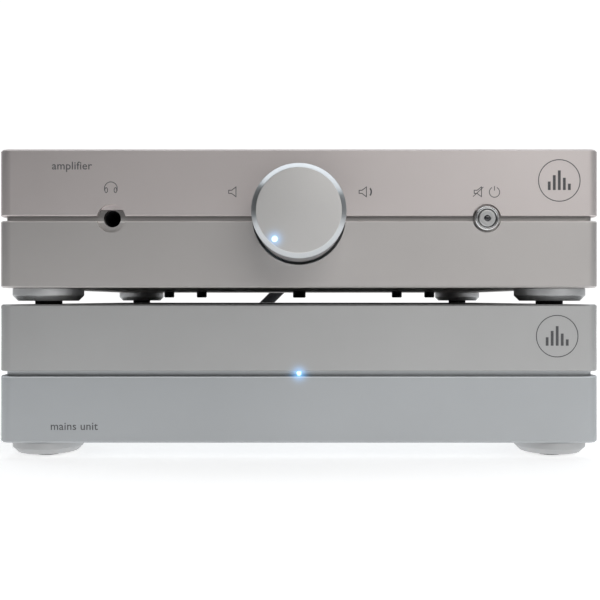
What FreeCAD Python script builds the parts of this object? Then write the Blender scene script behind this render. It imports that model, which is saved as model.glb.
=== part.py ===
"""Two-box headphone amplifier: an amplifier case standing on its matching power supply case.

Frame: millimetres, +Z up, front face towards -Y. The origin is the bottom centre of the whole
object's bounding box, on the surface that the lower feet stand on.

Each case has a frame of its own, which the sub-parts are drawn in: X to the right seen from the
front, Y towards the back, the origin in the middle of the case's underside. Controls are drawn in a
front frame (x right, y up, z out of the front face) and sockets in a rear frame (z out of the back
face), both centred on the seam between cover and tray.
"""

import FreeCAD
import Part
import Sketcher
import math
import os
import re

# The driving dimensions: name, millimetres (or degrees), what it is.
DIMENSIONS = [
    ("case_width", 228.0, "outside width of each case"),
    ("case_depth", 228.0, "outside depth of each case"),
    ("case_height", 52.4, "height of each case without its feet"),
    ("corner_radius", 5.0, "vertical outside corners"),
    ("inner_radius", 3.0, "vertical inside corners"),
    ("edge_chamfer", 0.6, "top and bottom outside edges"),
    ("seam_chamfer", 0.3, "edges of the seam groove"),
    ("wall", 5.0, "front and side walls"),
    ("rear_wall", 6.0, "back wall"),
    ("top_thickness", 4.0, "cover's top plate"),
    ("floor_thickness", 4.0, "tray's floor"),
    ("seam_gap", 1.8, "height of the groove between cover and tray"),
    ("lip_setback", 2.2, "depth of the groove, to the tray's lip"),
    ("lip_rise", 3.1, "lip's top edge above the seam's middle"),
    ("lip_play", 0.2, "gap between the lip's top and the cover"),
    ("foot_inset", 15.05, "foot's axis from the two nearest case sides"),
    ("foot_radius", 13.6, "turned metal foot"),
    ("foot_height", 5.0, "turned metal foot"),
    ("foot_chamfer", 2.1, "bevel round the foot's lower edge"),
    ("pad_radius", 5.2, "rubber pad in the foot"),
    ("pad_seat", 0.8, "depth of the pad's seat in the foot"),
    ("pad_stand", 1.35, "pad's height below the foot"),
    ("post_radius", 5.5, "screw posts in the corners of the case"),
    ("case_screw_radius", 2.0, "M4 screw through foot, tray and cover"),
    ("case_screw_head_radius", 3.6, "its low head"),
    ("case_screw_head_height", 2.2, "its low head"),
    ("case_screw_key", 1.44, "its key socket, from the axis to a corner"),
    ("case_screw_key_depth", 1.5, "its key socket"),
    ("case_screw_bite", 10.0, "thread length in the cover's post"),
    ("tight_gap", 0.02, "between a screw and its thread, or a part and its glued seat"),
    ("close_gap", 0.05, "round a part that fits closely"),
    ("fit_gap", 0.1, "round a part that drops into a hole"),
    ("clear_gap", 0.2, "round a screw in a clearance hole"),
    ("knob_radius", 16.5, "volume knob"),
    ("knob_reach", 29.6, "knob's face in front of the case"),
    ("knob_chamfer", 2.0, "bevel round the knob's face"),
    ("knob_inside", 3.0, "knob's back end behind the front face"),
    ("knob_hub_radius", 6.5, "hub round the shaft"),
    ("knob_relief_radius", 11.0, "outside of the hollow round the hub"),
    ("knob_relief_depth", 18.0, "depth of that hollow"),
    ("knob_bore_depth", 17.0, "shaft hole"),
    ("knob_hole_radius", 17.6, "hole in the front wall for the knob"),
    ("knob_light_orbit", 12.9, "light guide's distance from the knob's axis"),
    ("knob_light_angle", 40.0, "light guide at rest, from straight down, towards the left"),
    ("knob_light_radius", 1.0, "light guide"),
    ("grub_radius", 1.5, "M3 grub screw"),
    ("grub_reach", 6.0, "grub screw's axis in front of the case"),
    ("shaft_radius", 3.0, "potentiometer shaft"),
    ("shaft_tail", 19.0, "shaft's end behind the case's front"),
    ("bracket_depth", 18.0, "potentiometer bracket behind the case's front"),
    ("bracket_thickness", 2.0, "its sheet"),
    ("bracket_half", 20.0, "half its width"),
    ("bracket_top", 17.0, "its top above the knob's axis"),
    ("bracket_flange", 14.0, "its foot on the floor"),
    ("pot_half", 12.5, "potentiometer, half its width"),
    ("pot_length", 21.9, "potentiometer's case"),
    ("pot_bush_radius", 3.9, "its threaded bush"),
    ("pot_bush_end", 10.0, "bush's end behind the case's front"),
    ("pot_tab_spacing", 5.0, "its solder tabs"),
    ("pot_nut_radius", 6.2, "its nut, from the axis to a corner"),
    ("pot_nut_length", 2.5, "its nut"),
    ("control_spacing", 71.0, "socket and button, from the middle of the front"),
    ("recess_radius", 5.4, "round recesses in the front"),
    ("jack_hole_radius", 3.25, "headphone hole in the lip"),
    ("jack_bore_radius", 3.2, "headphone socket for a 6.35 mm plug"),
    ("jack_bore_depth", 26.0, "depth of that bore"),
    ("lead_in", 0.5, "bevel round that bore's mouth"),
    ("jack_case_half", 7.5, "headphone socket's moulding, half its width"),
    ("jack_case_end", 2.0, "its back wall"),
    ("jack_lug_spacing", 4.2, "its contact lugs"),
    ("jack_lug_drop", 4.7, "its contact lugs, below the bore's axis"),
    ("jack_lug_length", 4.0, "its contact lugs"),
    ("tab_half", 0.4, "half the width of a solder tab or lug"),
    ("bezel_radius", 4.6, "mute button's bezel"),
    ("bezel_reach", 1.3, "bezel and button in front of the case"),
    ("button_radius", 3.25, "mute button"),
    ("button_gap", 0.3, "round the mute button"),
    ("button_travel", 1.2, "mute button"),
    ("button_depth", 4.0, "mute button's back behind the case's front"),
    ("button_stem_radius", 1.6, "mute button's stem"),
    ("mute_switch_depth", 14.0, "mute switch behind the case's front"),
    ("mute_switch_half", 6.0, "half its width"),
    ("plunger_radius", 1.2, "its plunger"),
    ("plunger_length", 3.0, "its plunger"),
    ("lens_radius", 1.2, "lens in the mute button"),
    ("lens_depth", 1.5, "seat of that lens"),
    ("spring_radius", 2.45, "mute button's spring, to the middle of its wire"),
    ("spring_wire", 0.3, "radius of that wire"),
    ("spring_turns", 5, "turns of that spring"),
    ("sink_bar_y", 36.0, "heat sink bar's middle, behind the case's middle"),
    ("sink_screw_inner", 54.0, "inner pair of screws under the bar"),
    ("sink_screw_outer", 72.0, "outer pair of screws under the bar"),
    ("sink_bar_length", 164.0, "heat sink bar"),
    ("sink_bar_half", 7.0, "half its depth"),
    ("sink_bar_top", 27.0, "its top above the case's underside"),
    ("sink_screw_radius", 1.5, "its four M3 screws"),
    ("sink_screw_head_radius", 2.75, "their heads"),
    ("sink_screw_head_height", 3.3, "their heads"),
    ("sink_bolt_radius", 2.0, "its middle M4 screw"),
    ("sink_bolt_head_radius", 3.5, "that screw's head"),
    ("sink_bolt_head_height", 3.4, "that screw's head"),
    ("sink_screw_length", 14.0, "these five screws above the case's underside"),
    ("transistor_half", 8.0, "output transistors, half their width"),
    ("transistor_thickness", 5.0, "output transistors"),
    ("transistor_base", 13.0, "output transistors above the case's underside"),
    ("transistor_height", 21.0, "output transistors"),
    ("filter_can_radius", 8.0, "filter capacitors"),
    ("filter_can_height", 25.0, "filter capacitors"),
    ("chip_half", 5.0, "amplifier chips, half their width"),
    ("chip_height", 3.6, "amplifier chips"),
    ("relay_half", 10.0, "mute relays, half their width"),
    ("relay_height", 14.4, "mute relays"),
    ("board_height", 10.0, "circuit boards above the case's underside"),
    ("board_thickness", 1.6, "circuit boards"),
    ("pillar_radius", 3.2, "board pillars and their nuts, from the axis to a corner"),
    ("pillar_stud_radius", 1.5, "their threads"),
    ("pillar_nut", 2.0, "height of their nuts"),
    ("panel_width", 206.0, "rear panel"),
    ("panel_height", 43.0, "rear panel"),
    ("panel_thickness", 2.0, "rear panel"),
    ("panel_inset", 1.5, "rear panel's face behind the case's back"),
    ("panel_play", 0.15, "gap round the rear panel"),
    ("panel_corner", 1.0, "rear panel's corners"),
    ("opening_corner", 3.0, "corners of the opening in the back wall"),
    ("opening_width", 188.0, "opening in the back wall"),
    ("opening_height", 36.0, "opening in the back wall"),
    ("panel_screw_x", 98.5, "rear panel's screws, from the middle"),
    ("panel_screw_z", 12.0, "rear panel's screws, from the seam"),
    ("panel_hole_radius", 1.65, "their holes in the panel"),
    ("panel_screw_radius", 1.25, "rear panel's M2.5 screws"),
    ("panel_screw_head_radius", 2.75, "their heads"),
    ("panel_screw_head_height", 1.6, "their heads"),
    ("panel_screw_key", 1.15, "their key sockets, from the axis to a corner"),
    ("panel_screw_key_depth", 1.0, "their key sockets"),
    ("phono_inner", 63.4, "inner phono socket of each pair, from the middle"),
    ("phono_outer", 84.0, "outer phono socket of each pair, from the middle"),
    ("phono_radius", 4.15, "phono socket's barrel"),
    ("phono_contact_radius", 1.65, "phono socket's centre contact"),
    ("phono_contact_depth", 4.0, "its bottom behind the case's back"),
    ("phono_bore_radius", 3.3, "hollow of the barrel"),
    ("phono_bore_depth", 6.0, "its bottom behind the case's back"),
    ("phono_thread_radius", 3.9, "phono socket's thread"),
    ("phono_tail", 17.0, "its inner end behind the case's back"),
    ("phono_collar_radius", 5.6, "phono socket's collar, and its nut's corners"),
    ("phono_collar", 1.6, "thickness of that collar"),
    ("phono_nut", 2.2, "thickness of that nut"),
    ("socket_board_half_x", 93.0, "phono sockets' board, half its width"),
    ("socket_board_half_z", 11.0, "half its height"),
    ("socket_reach", 9.5, "phono sockets behind the case"),
    ("inlet_x", 8.0, "amplifier's direct-current inlet, from the middle"),
    ("outlet_x", -54.0, "power supply's direct-current outlet, from the middle"),
    ("link_shell_radius", 7.0, "shell of the inlet and the outlet"),
    ("link_shell_reach", 5.0, "that shell behind the case"),
    ("link_bore_radius", 5.6, "bore of that shell"),
    ("link_bore_depth", 9.0, "bottom of that bore behind the case's back"),
    ("link_body", 14.0, "inner end of the inlet and the outlet"),
    ("link_flange_radius", 9.0, "their flanges"),
    ("link_flange", 2.2, "their flanges"),
    ("plug_nose", 7.0, "end of the plug's nose inside the case's back"),
    ("plug_grip_radius", 8.2, "link lead's plug"),
    ("plug_groove", 1.1, "width of a groove round its grip"),
    ("plug_groove_depth", 0.8, "those grooves"),
    ("plug_groove_start", 3.0, "first groove, from the grip's front end"),
    ("plug_groove_pitch", 2.5, "from groove to groove"),
    ("plug_end", 22.0, "plug's back end behind the case"),
    ("relief_end", 40.0, "strain relief's end behind the case"),
    ("relief_radius", 6.2, "strain relief's thick end"),
    ("relief_tip", 4.6, "strain relief's thin end"),
    ("cord_radius", 4.0, "link lead"),
    ("power_light_radius", 0.85, "light in the power supply's groove"),
    ("power_light_reach", 0.9, "its tip in front of the lip"),
    ("power_light_tail", 7.0, "its inner end behind the case's front"),
    ("mains_x", 62.0, "mains inlet, from the middle"),
    ("mains_flange", 2.5, "thickness of its flange"),
    ("mains_flange_half_x", 20.0, "half its flange's width"),
    ("mains_flange_half_z", 16.0, "half its flange's height"),
    ("mains_half_x", 14.0, "half its case's width"),
    ("mains_half_z", 14.5, "half its case's height"),
    ("mains_depth", 22.0, "its case"),
    ("mouth_half_x", 12.2, "half the width of its mouth"),
    ("mouth_low", -3.4, "bottom of its mouth, from the seam"),
    ("mouth_high", 13.0, "top of its mouth, from the seam"),
    ("mouth_depth", 14.0, "its mouth behind the panel's face"),
    ("pin_recess", 1.5, "pins' tips behind the panel's face"),
    ("pin_half_x", 1.0, "half a pin's thickness"),
    ("pin_half_z", 2.0, "half a pin's height"),
    ("drawer_half_x", 11.0, "fuse drawer, half its width"),
    ("drawer_low", -13.4, "its bottom, from the seam"),
    ("drawer_high", -5.6, "its top, from the seam"),
    ("nail_slot_half", 4.0, "half the width of its nail slot"),
    ("nail_slot_height", 1.6, "its nail slot"),
    ("nail_slot_depth", 1.0, "its nail slot"),
    ("fuse_radius", 2.6, "glass fuse"),
    ("fuse_half_length", 10.0, "half the fuse's length"),
    ("fuse_depth", 8.0, "fuse's axis behind the panel's face"),
    ("fuse_z", -9.3, "fuse's axis, from the seam"),
    ("fuse_well_half", 3.0, "half the width of the well round the fuse"),
    ("fuse_well_end", 0.3, "gap at each end of the fuse"),
    ("switch_x", 16.0, "mains switch, from the middle"),
    ("switch_frame", 2.0, "thickness of its frame"),
    ("switch_frame_half_x", 10.5, "half its frame's width"),
    ("switch_frame_half_z", 15.0, "half its frame's height"),
    ("switch_half_x", 9.4, "half its case's width"),
    ("switch_half_z", 13.8, "half its case's height"),
    ("switch_depth", 17.0, "its case"),
    ("switch_floor", 3.0, "wall behind its rocker"),
    ("rocker_half_length", 11.3, "mains rocker"),
    ("rocker_width", 14.0, "mains rocker"),
    ("rocker_crest", 4.6, "its waist outside its axis"),
    ("rocker_lip", 6.4, "its ends outside its axis"),
    ("rocker_skirt", 1.0, "its end faces inside its axis"),
    ("rocker_heel", 9.0, "its heel inside its axis"),
    ("rocker_heel_half", 4.0, "half the height of its heel"),
    ("rocker_side_gap", 0.3, "between the rocker's sides and the frame"),
    ("rocker_end_gap", 1.2, "between the rocker's ends and the frame"),
    ("rocker_tilt", 8.0, "rocker's angle either side of level"),
    ("rocker_pivot_depth", 2.0, "rocker's axis in front of the panel's face"),
    ("rocker_pin_radius", 1.0, "rocker's axle pins"),
    ("rocker_pin_reach", 1.4, "rocker's axle pins beyond its sides"),
    ("transformer_x", 50.0, "transformer's axis"),
    ("transformer_y", 16.0, "transformer's axis"),
    ("transformer_radius", 45.0, "transformer's outside"),
    ("transformer_eye", 14.0, "transformer's centre hole"),
    ("transformer_height", 33.0, "transformer"),
    ("transformer_round", 6.0, "its rounded edges"),
    ("ring_bolt_radius", 2.5, "M5 bolt through its middle"),
    ("ring_bolt_start", 0.5, "bolt's end above the case's underside"),
    ("ring_bolt_head_radius", 4.6, "its head, from the axis to a corner"),
    ("ring_bolt_head_height", 3.5, "its head"),
    ("ring_washer_radius", 23.0, "washer under that head"),
    ("ring_washer", 2.0, "washer under that head"),
    ("reservoir_radius", 11.0, "reservoir capacitors"),
    ("reservoir_height", 32.0, "reservoir capacitors"),
    ("fin_spine_y", 24.0, "front of the regulators' heat sink"),
    ("fin_spine", 4.0, "thickness of its spine"),
    ("fin_thickness", 2.0, "its fins"),
    ("fin_reach", 18.0, "its fins"),
    ("fin_top", 38.0, "its top above the case's underside"),
    ("regulator_half", 5.0, "voltage regulators, half their width"),
    ("regulator_thickness", 4.5, "voltage regulators"),
    ("regulator_base", 14.0, "voltage regulators above the case's underside"),
    ("regulator_height", 16.0, "voltage regulators"),
]
SIZES = {name: value for name, value, _ in DIMENSIONS}

# Lengths worked out from the driving dimensions, as text for expressions.
STAND = "(foot_height + pad_stand)"
CASE_SHIFT = "((knob_reach - socket_reach) / 2)"
AMP_BASE = f"(2 * {STAND} + case_height)"
SEAM = "(case_height / 2)"
FRONT = "(-case_depth / 2)"
BACK = "(case_depth / 2)"
PANEL_FACE = f"({BACK} - panel_inset)"
BOARD_TOP = "(board_height + board_thickness)"
PAST = "1"  # how far a cutting tool runs past the face that it leaves through

# Frame name: origin, and the turn about X that brings its z to the front (90) or the back (-90).
FRAMES = {
    "amp": ("0", CASE_SHIFT, AMP_BASE, 0),
    "amp_front": ("0", f"{CASE_SHIFT} + {FRONT}", f"{AMP_BASE} + {SEAM}", 90),
    "amp_rear": ("0", f"{CASE_SHIFT} + {BACK}", f"{AMP_BASE} + {SEAM}", -90),
    "psu": ("0", CASE_SHIFT, STAND, 0),
    "psu_front": ("0", f"{CASE_SHIFT} + {FRONT}", f"{STAND} + {SEAM}", 90),
    "psu_rear": ("0", f"{CASE_SHIFT} + {BACK}", f"{STAND} + {SEAM}", -90),
}

X_AXIS = FreeCAD.Vector(1, 0, 0)
AXIS_TURNS = {
    "x": FreeCAD.Rotation(FreeCAD.Vector(0, 1, 0), 90),
    "y": FreeCAD.Rotation(X_AXIS, -90),
    "z": FreeCAD.Rotation(),
}

doc = FreeCAD.newDocument("headphone_amplifier")
dims = doc.addObject("Spreadsheet::Sheet", "dims")
for row, (name, value, note) in enumerate(DIMENSIONS, start=1):
    dims.set(f"A{row}", name)
    dims.set(f"B{row}", str(value))
    dims.setAlias(f"B{row}", name)
    dims.set(f"C{row}", note)
doc.recompute()

sub_parts = []


# ---- Expressions -------------------------------------------------------------------------------


def bound(text):
    """The expression with each driving dimension written as a cell of the sheet."""
    return re.sub(r"[a-z_]+", lambda m: f"dims.{m[0]}" if m[0] in SIZES else m[0], text)


def size(text):
    """The value of an expression, in millimetres."""
    return float(dims.evalExpression(text))


def bind(target, path, text):
    """Ties a property to an expression; a plain zero stays unbound."""
    if text != "0":
        target.setExpression(path, bound(text))


def bind_place(target, x, y, z):
    """Ties a feature's position to three expressions."""
    for axis, text in zip("xyz", (x, y, z)):
        bind(target, f"Placement.Base.{axis}", text)


# ---- Part primitives ---------------------------------------------------------------------------


def box(low, high):
    """A box between two corners, each given as three expressions."""
    made = doc.addObject("Part::Box", "block")
    bind_place(made, *low)
    for side, a, b in zip(("Length", "Width", "Height"), low, high):
        bind(made, side, f"({b}) - ({a})")
    return made


def cylinder(base, radius, length, axis="z"):
    """A cylinder from the middle of one end, along an axis."""
    made = doc.addObject("Part::Cylinder", "rod")
    made.Placement = FreeCAD.Placement(FreeCAD.Vector(), AXIS_TURNS[axis])
    bind_place(made, *base)
    bind(made, "Radius", radius)
    bind(made, "Height", length)
    return made


def cone(base, radius, end_radius, length):
    """A cone along z from the middle of its thick end."""
    made = doc.addObject("Part::Cone", "taper")
    bind_place(made, *base)
    bind(made, "Radius1", radius)
    bind(made, "Radius2", end_radius)
    bind(made, "Height", length)
    return made


def hexagon(base, radius, length):
    """A hexagonal prism along z."""
    made = doc.addObject("Part::Prism", "hexagon")
    made.Polygon = 6
    bind_place(made, *base)
    bind(made, "Circumradius", radius)
    bind(made, "Height", length)
    return made


def cut(base, *tools):
    """The base with every tool taken away."""
    made = doc.addObject("Part::Cut", "cut")
    made.Base = base
    made.Tool = fuse(*tools) if len(tools) > 1 else tools[0]
    return made


def fuse(*pieces):
    """One solid from pieces that touch or overlap."""
    made = doc.addObject("Part::MultiFuse", "fusion")
    made.Shapes = list(pieces)
    made.Refine = True
    return made


def group(pieces):
    """Several separate solids as one sub-part."""
    made = doc.addObject("Part::Compound", "group")
    made.Links = list(pieces)
    return made


def tube(base, radius, bore, length, axis="z"):
    """A straight pipe."""
    return cut(cylinder(base, radius, length, axis), cylinder(base, bore, length, axis))


def sub_part(label, made, frame):
    """Names a finished shape as a sub-part and puts it in its frame.

    A primitive has a place of its own already, so it goes into a group, which takes the frame's.
    """
    if made.TypeId in ("Part::Box", "Part::Cylinder"):
        made = group([made])
    x, y, z, turn = FRAMES[frame]
    made.Label = label
    made.Placement = FreeCAD.Placement(FreeCAD.Vector(), FreeCAD.Rotation(X_AXIS, turn))
    bind_place(made, x, y, z)
    sub_parts.append(made)
    return made


# ---- PartDesign bodies -------------------------------------------------------------------------


def new_body(label):
    """An empty body."""
    made = doc.addObject("PartDesign::Body", label)
    made.Label = label
    return made


def new_sketch(body, plane, offset="0"):
    """A sketch on one of the body's own origin planes, moved along the plane's normal."""
    made = body.newObject("Sketcher::SketchObject", "sketch")
    roles = {feature.Role: feature for feature in body.Origin.OriginFeatures}
    made.AttachmentSupport = [(roles[plane], "")]
    made.MapMode = "FlatFace"
    bind(made, "AttachmentOffset.Base.z", offset)
    return made


def pin_point(sketch, geometry, point, x, y):
    """Ties a point of the sketch to two expressions."""
    for kind, axis, text in (("DistanceX", -2, x), ("DistanceY", -1, y)):
        value = size(text)
        if abs(value) < 1e-9:
            sketch.addConstraint(Sketcher.Constraint("PointOnObject", geometry, point, axis))
        else:
            rule = sketch.addConstraint(Sketcher.Constraint(kind, -1, 1, geometry, point, value))
            sketch.setExpression(f"Constraints[{rule}]", bound(text))


def draw_polygon(sketch, corners):
    """A closed outline of straight lines, each corner tied to its expressions."""
    points = [FreeCAD.Vector(size(x), size(y), 0) for x, y in corners]
    lines = [Part.LineSegment(a, b) for a, b in zip(points, points[1:] + points[:1])]
    indices = [sketch.addGeometry(line, False) for line in lines]
    for index, following in zip(indices, indices[1:] + indices[:1]):
        sketch.addConstraint(Sketcher.Constraint("Coincident", index, 2, following, 1))
    for index, (x, y) in zip(indices, corners):
        pin_point(sketch, index, 1, x, y)


def draw_circle(sketch, x, y, radius):
    """A circle tied to its centre and radius."""
    centre = FreeCAD.Vector(size(x), size(y), 0)
    index = sketch.addGeometry(Part.Circle(centre, FreeCAD.Vector(0, 0, 1), size(radius)), False)
    rule = sketch.addConstraint(Sketcher.Constraint("Radius", index, size(radius)))
    sketch.setExpression(f"Constraints[{rule}]", bound(radius))
    pin_point(sketch, index, 3, x, y)


def draw_rounded(sketch, low_x, high_x, low_y, high_y, radius):
    """A rectangle with four equal round corners."""
    x0, x1, y0, y1, r = (size(text) for text in (low_x, high_x, low_y, high_y, radius))
    z = FreeCAD.Vector(0, 0, 1)
    centres = [(x1 - r, y0 + r), (x1 - r, y1 - r), (x0 + r, y1 - r), (x0 + r, y0 + r)]
    ends = [
        ((x0 + r, y0), (x1 - r, y0)),
        ((x1, y0 + r), (x1, y1 - r)),
        ((x1 - r, y1), (x0 + r, y1)),
        ((x0, y1 - r), (x0, y0 + r)),
    ]
    sides = []
    arcs = []
    for quarter, ((a, b), centre) in enumerate(zip(ends, centres)):
        start = (quarter - 1) * math.pi / 2
        line = Part.LineSegment(FreeCAD.Vector(*a, 0), FreeCAD.Vector(*b, 0))
        circle = Part.Circle(FreeCAD.Vector(*centre, 0), z, r)
        sides.append(sketch.addGeometry(line, False))
        arcs.append(sketch.addGeometry(Part.ArcOfCircle(circle, start, start + math.pi / 2), False))
    for side, arc, following in zip(sides, arcs, sides[1:] + sides[:1]):
        sketch.addConstraint(Sketcher.Constraint("Tangent", side, 2, arc, 1))
        sketch.addConstraint(Sketcher.Constraint("Tangent", arc, 2, following, 1))
    for arc in arcs[1:]:
        sketch.addConstraint(Sketcher.Constraint("Equal", arcs[0], arc))
    rule = sketch.addConstraint(Sketcher.Constraint("Radius", arcs[0], r))
    sketch.setExpression(f"Constraints[{rule}]", bound(radius))
    for side, kind in zip(sides, ("Horizontal", "Vertical", "Horizontal", "Vertical")):
        sketch.addConstraint(Sketcher.Constraint(kind, side))
    places = [("DistanceY", low_y), ("DistanceX", high_x), ("DistanceY", high_y), ("DistanceX", low_x)]
    for side, (kind, text) in zip(sides, places):
        rule = sketch.addConstraint(Sketcher.Constraint(kind, -1, 1, side, 1, size(text)))
        sketch.setExpression(f"Constraints[{rule}]", bound(text))


def extrude(body, kind, sketch, length, backwards=False, centred=False):
    """A Pad or a Pocket of a sketch. It must change the body's volume."""
    before = body.Shape.Volume if body.Tip else 0.0
    made = body.newObject(f"PartDesign::{kind}", kind.lower())
    made.Profile = sketch
    made.Reversed = backwards
    made.Midplane = centred
    bind(made, "Length", length)
    doc.recompute()
    if abs(body.Shape.Volume - before) < 1e-6:
        raise ValueError(f"{body.Label}: a {kind} did nothing")
    return made


def revolve(body, sketch):
    """A full turn of a sketch about its vertical axis."""
    made = body.newObject("PartDesign::Revolution", "revolution")
    made.Profile = sketch
    made.ReferenceAxis = (sketch, ["V_Axis"])
    made.Angle = 360
    doc.recompute()
    return made


def bevel(body, height, width):
    """A chamfer along the body's outside edges at one height."""
    base = body.Tip
    shape = base.Shape
    level = size(height)
    names = []
    for number, edge in enumerate(shape.Edges, start=1):
        if abs(edge.BoundBox.ZMin - level) < 1e-4 and abs(edge.BoundBox.ZMax - level) < 1e-4:
            names.append(f"Edge{number}")
    made = body.newObject("PartDesign::Chamfer", "chamfer")
    made.Base = (base, names)
    bind(made, "Size", width)
    doc.recompute()
    return made


# ---- Cases: cover, tray, feet, rear panel ------------------------------------------------------


def corner_places():
    """The four foot axes in a case's frame, as expressions."""
    x = "(case_width / 2 - foot_inset)"
    y = "(case_depth / 2 - foot_inset)"
    return [(f"{sx} * {x}", f"{sy} * {y}") for sx in (-1, 1) for sy in (-1, 1)]


def panel_screw_places():
    """The four rear panel screws in a rear or front frame."""
    return [(f"{sx} * panel_screw_x", f"{sz} * panel_screw_z") for sx in (-1, 1) for sz in (-1, 1)]


def outline(body, plane_height, inset="0", radius="corner_radius"):
    """A sketch of the case's outline, set in by a distance."""
    sketch = new_sketch(body, "XY_Plane", plane_height)
    half_x = f"case_width / 2 - {inset}"
    half_y = f"case_depth / 2 - {inset}"
    draw_rounded(sketch, f"-({half_x})", half_x, f"-({half_y})", half_y, radius)
    return sketch


def cavity(body, plane_height):
    """A sketch of the space inside the walls."""
    sketch = new_sketch(body, "XY_Plane", plane_height)
    half_x = "case_width / 2 - wall"
    draw_rounded(
        sketch, f"-({half_x})", half_x, f"{FRONT} + wall", f"{BACK} - rear_wall", "inner_radius"
    )
    return sketch


def round_cuts(body, plane_offset, places, radius, depth, from_back=False):
    """Round pockets into the front or the back of a case, in that face's frame."""
    sketch = new_sketch(body, "XZ_Plane", plane_offset)
    for x, up in places:
        draw_circle(sketch, x, f"{SEAM} + {up}", radius)
    extrude(body, "Pocket", sketch, depth, backwards=from_back)


def cut_back_wall(body):
    """The rear panel's seat, the opening inside it and the panel's screw holes."""
    seat_depth = "panel_inset + panel_thickness"
    seat = ("panel_width / 2 + panel_play", "panel_height / 2 + panel_play", "panel_corner + panel_play")
    opening = ("opening_width / 2", "opening_height / 2", "opening_corner")
    for (half_x, half_z, corner), depth in ((seat, seat_depth), (opening, f"rear_wall + {PAST}")):
        sketch = new_sketch(body, "XZ_Plane", FRONT)
        draw_rounded(
            sketch, f"-({half_x})", half_x, f"{SEAM} - ({half_z})", f"{SEAM} + {half_z}", corner
        )
        extrude(body, "Pocket", sketch, depth, backwards=True)
    own_side = 1 if body.Label.endswith("cover") else -1
    places = [(f"{sx} * panel_screw_x", f"{own_side} * panel_screw_z") for sx in (-1, 1)]
    round_cuts(
        body, FRONT, places, "panel_screw_radius + close_gap", f"rear_wall + {PAST}", from_back=True
    )


def cut_front_wall(body, unit):
    """The holes for the controls, or for the power light."""
    knob = [("0", "0")]
    controls = [("-control_spacing", "0"), ("control_spacing", "0")]
    through = f"wall + {PAST}"
    if unit == "amp":
        round_cuts(body, BACK, knob, "knob_hole_radius", through)
        round_cuts(body, BACK, controls, "recess_radius", "lip_setback")
        round_cuts(body, BACK, controls[1:], "bezel_radius + fit_gap", through)
        if body.Label.endswith("tray"):
            round_cuts(body, BACK, controls[:1], "jack_hole_radius", through)
    elif body.Label.endswith("tray"):
        round_cuts(body, BACK, knob, "power_light_radius + close_gap", through)


def corner_circles(body, plane_height, radius):
    """A sketch of four circles on the foot axes."""
    sketch = new_sketch(body, "XY_Plane", plane_height)
    for x, y in corner_places():
        draw_circle(sketch, x, y, radius)
    return sketch


def cover(unit):
    """The upper half of a case: top plate and walls, rebated over the tray's lip."""
    body = new_body(f"{unit}_cover")
    bottom = f"({SEAM} + seam_gap / 2)"
    rebate = "lip_rise + lip_play - seam_gap / 2"
    shoulder = f"({SEAM} + lip_rise + lip_play)"
    extrude(body, "Pad", outline(body, bottom), f"case_height - {bottom}")
    bevel(body, "case_height", "edge_chamfer")
    bevel(body, bottom, "seam_chamfer")
    extrude(
        body, "Pocket", cavity(body, bottom), f"case_height - top_thickness - {bottom}", backwards=True
    )
    step = outline(body, bottom, "(lip_setback - fit_gap)", "corner_radius - lip_setback + fit_gap")
    extrude(body, "Pocket", step, rebate, backwards=True)
    posts = corner_circles(body, shoulder, "post_radius")
    extrude(body, "Pad", posts, f"case_height - top_thickness - {shoulder}")
    threads = corner_circles(body, shoulder, "case_screw_radius + tight_gap")
    extrude(body, "Pocket", threads, f"case_screw_bite + {PAST}", backwards=True)
    cut_front_wall(body, unit)
    cut_back_wall(body)
    return sub_part(f"{unit}_cover", body, unit)


def tray(unit):
    """The lower half of a case: floor, walls and the lip that the cover closes over."""
    body = new_body(f"{unit}_tray")
    top = f"({SEAM} - seam_gap / 2)"
    lip_top = f"({SEAM} + lip_rise)"
    extrude(body, "Pad", outline(body, "0"), top)
    bevel(body, "0", "edge_chamfer")
    bevel(body, top, "seam_chamfer")
    lip = outline(body, top, "lip_setback", "corner_radius - lip_setback")
    extrude(body, "Pad", lip, f"{lip_top} - {top}")
    extrude(body, "Pocket", cavity(body, lip_top), f"{lip_top} - floor_thickness")
    posts = corner_circles(body, "floor_thickness", "post_radius")
    extrude(body, "Pad", posts, f"{lip_top} - floor_thickness")
    holes = corner_circles(body, lip_top, "case_screw_radius + clear_gap")
    extrude(body, "Pocket", holes, f"{lip_top} + {PAST}")
    cut_front_wall(body, unit)
    cut_back_wall(body)
    cut_floor(body, unit)
    return sub_part(f"{unit}_tray", body, unit)


def cut_floor(body, unit):
    """Clearance holes under the heat sink bar, or the transformer's bolt hole."""
    sketch = new_sketch(body, "XY_Plane", "floor_thickness")
    if unit == "amp":
        draw_circle(sketch, "0", "sink_bar_y", "sink_bolt_radius + clear_gap")
        for place in ("sink_screw_inner", "sink_screw_outer"):
            for side in (-1, 1):
                draw_circle(sketch, f"{side} * {place}", "sink_bar_y", "sink_screw_radius + clear_gap")
    else:
        draw_circle(sketch, "transformer_x", "transformer_y", "ring_bolt_radius + tight_gap")
    extrude(body, "Pocket", sketch, f"floor_thickness + {PAST}")


def foot():
    """One turned foot about its own axis: bevelled disc, pad seat, screw counterbore and hole."""
    body = new_body("foot")
    bottom = "-foot_height"
    seat = "(-foot_height + pad_seat)"
    ledge = "(-foot_height + pad_seat + case_screw_head_height + clear_gap)"
    head = "case_screw_head_radius + clear_gap"
    hole = "case_screw_radius + clear_gap"
    sketch = new_sketch(body, "XZ_Plane")
    draw_polygon(
        sketch,
        [
            (hole, "0"),
            ("foot_radius", "0"),
            ("foot_radius", "foot_chamfer - foot_height"),
            ("foot_radius - foot_chamfer", bottom),
            ("pad_radius + close_gap", bottom),
            ("pad_radius + close_gap", seat),
            (head, seat),
            (head, ledge),
            (hole, ledge),
        ],
    )
    revolve(body, sketch)
    return body


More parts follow.
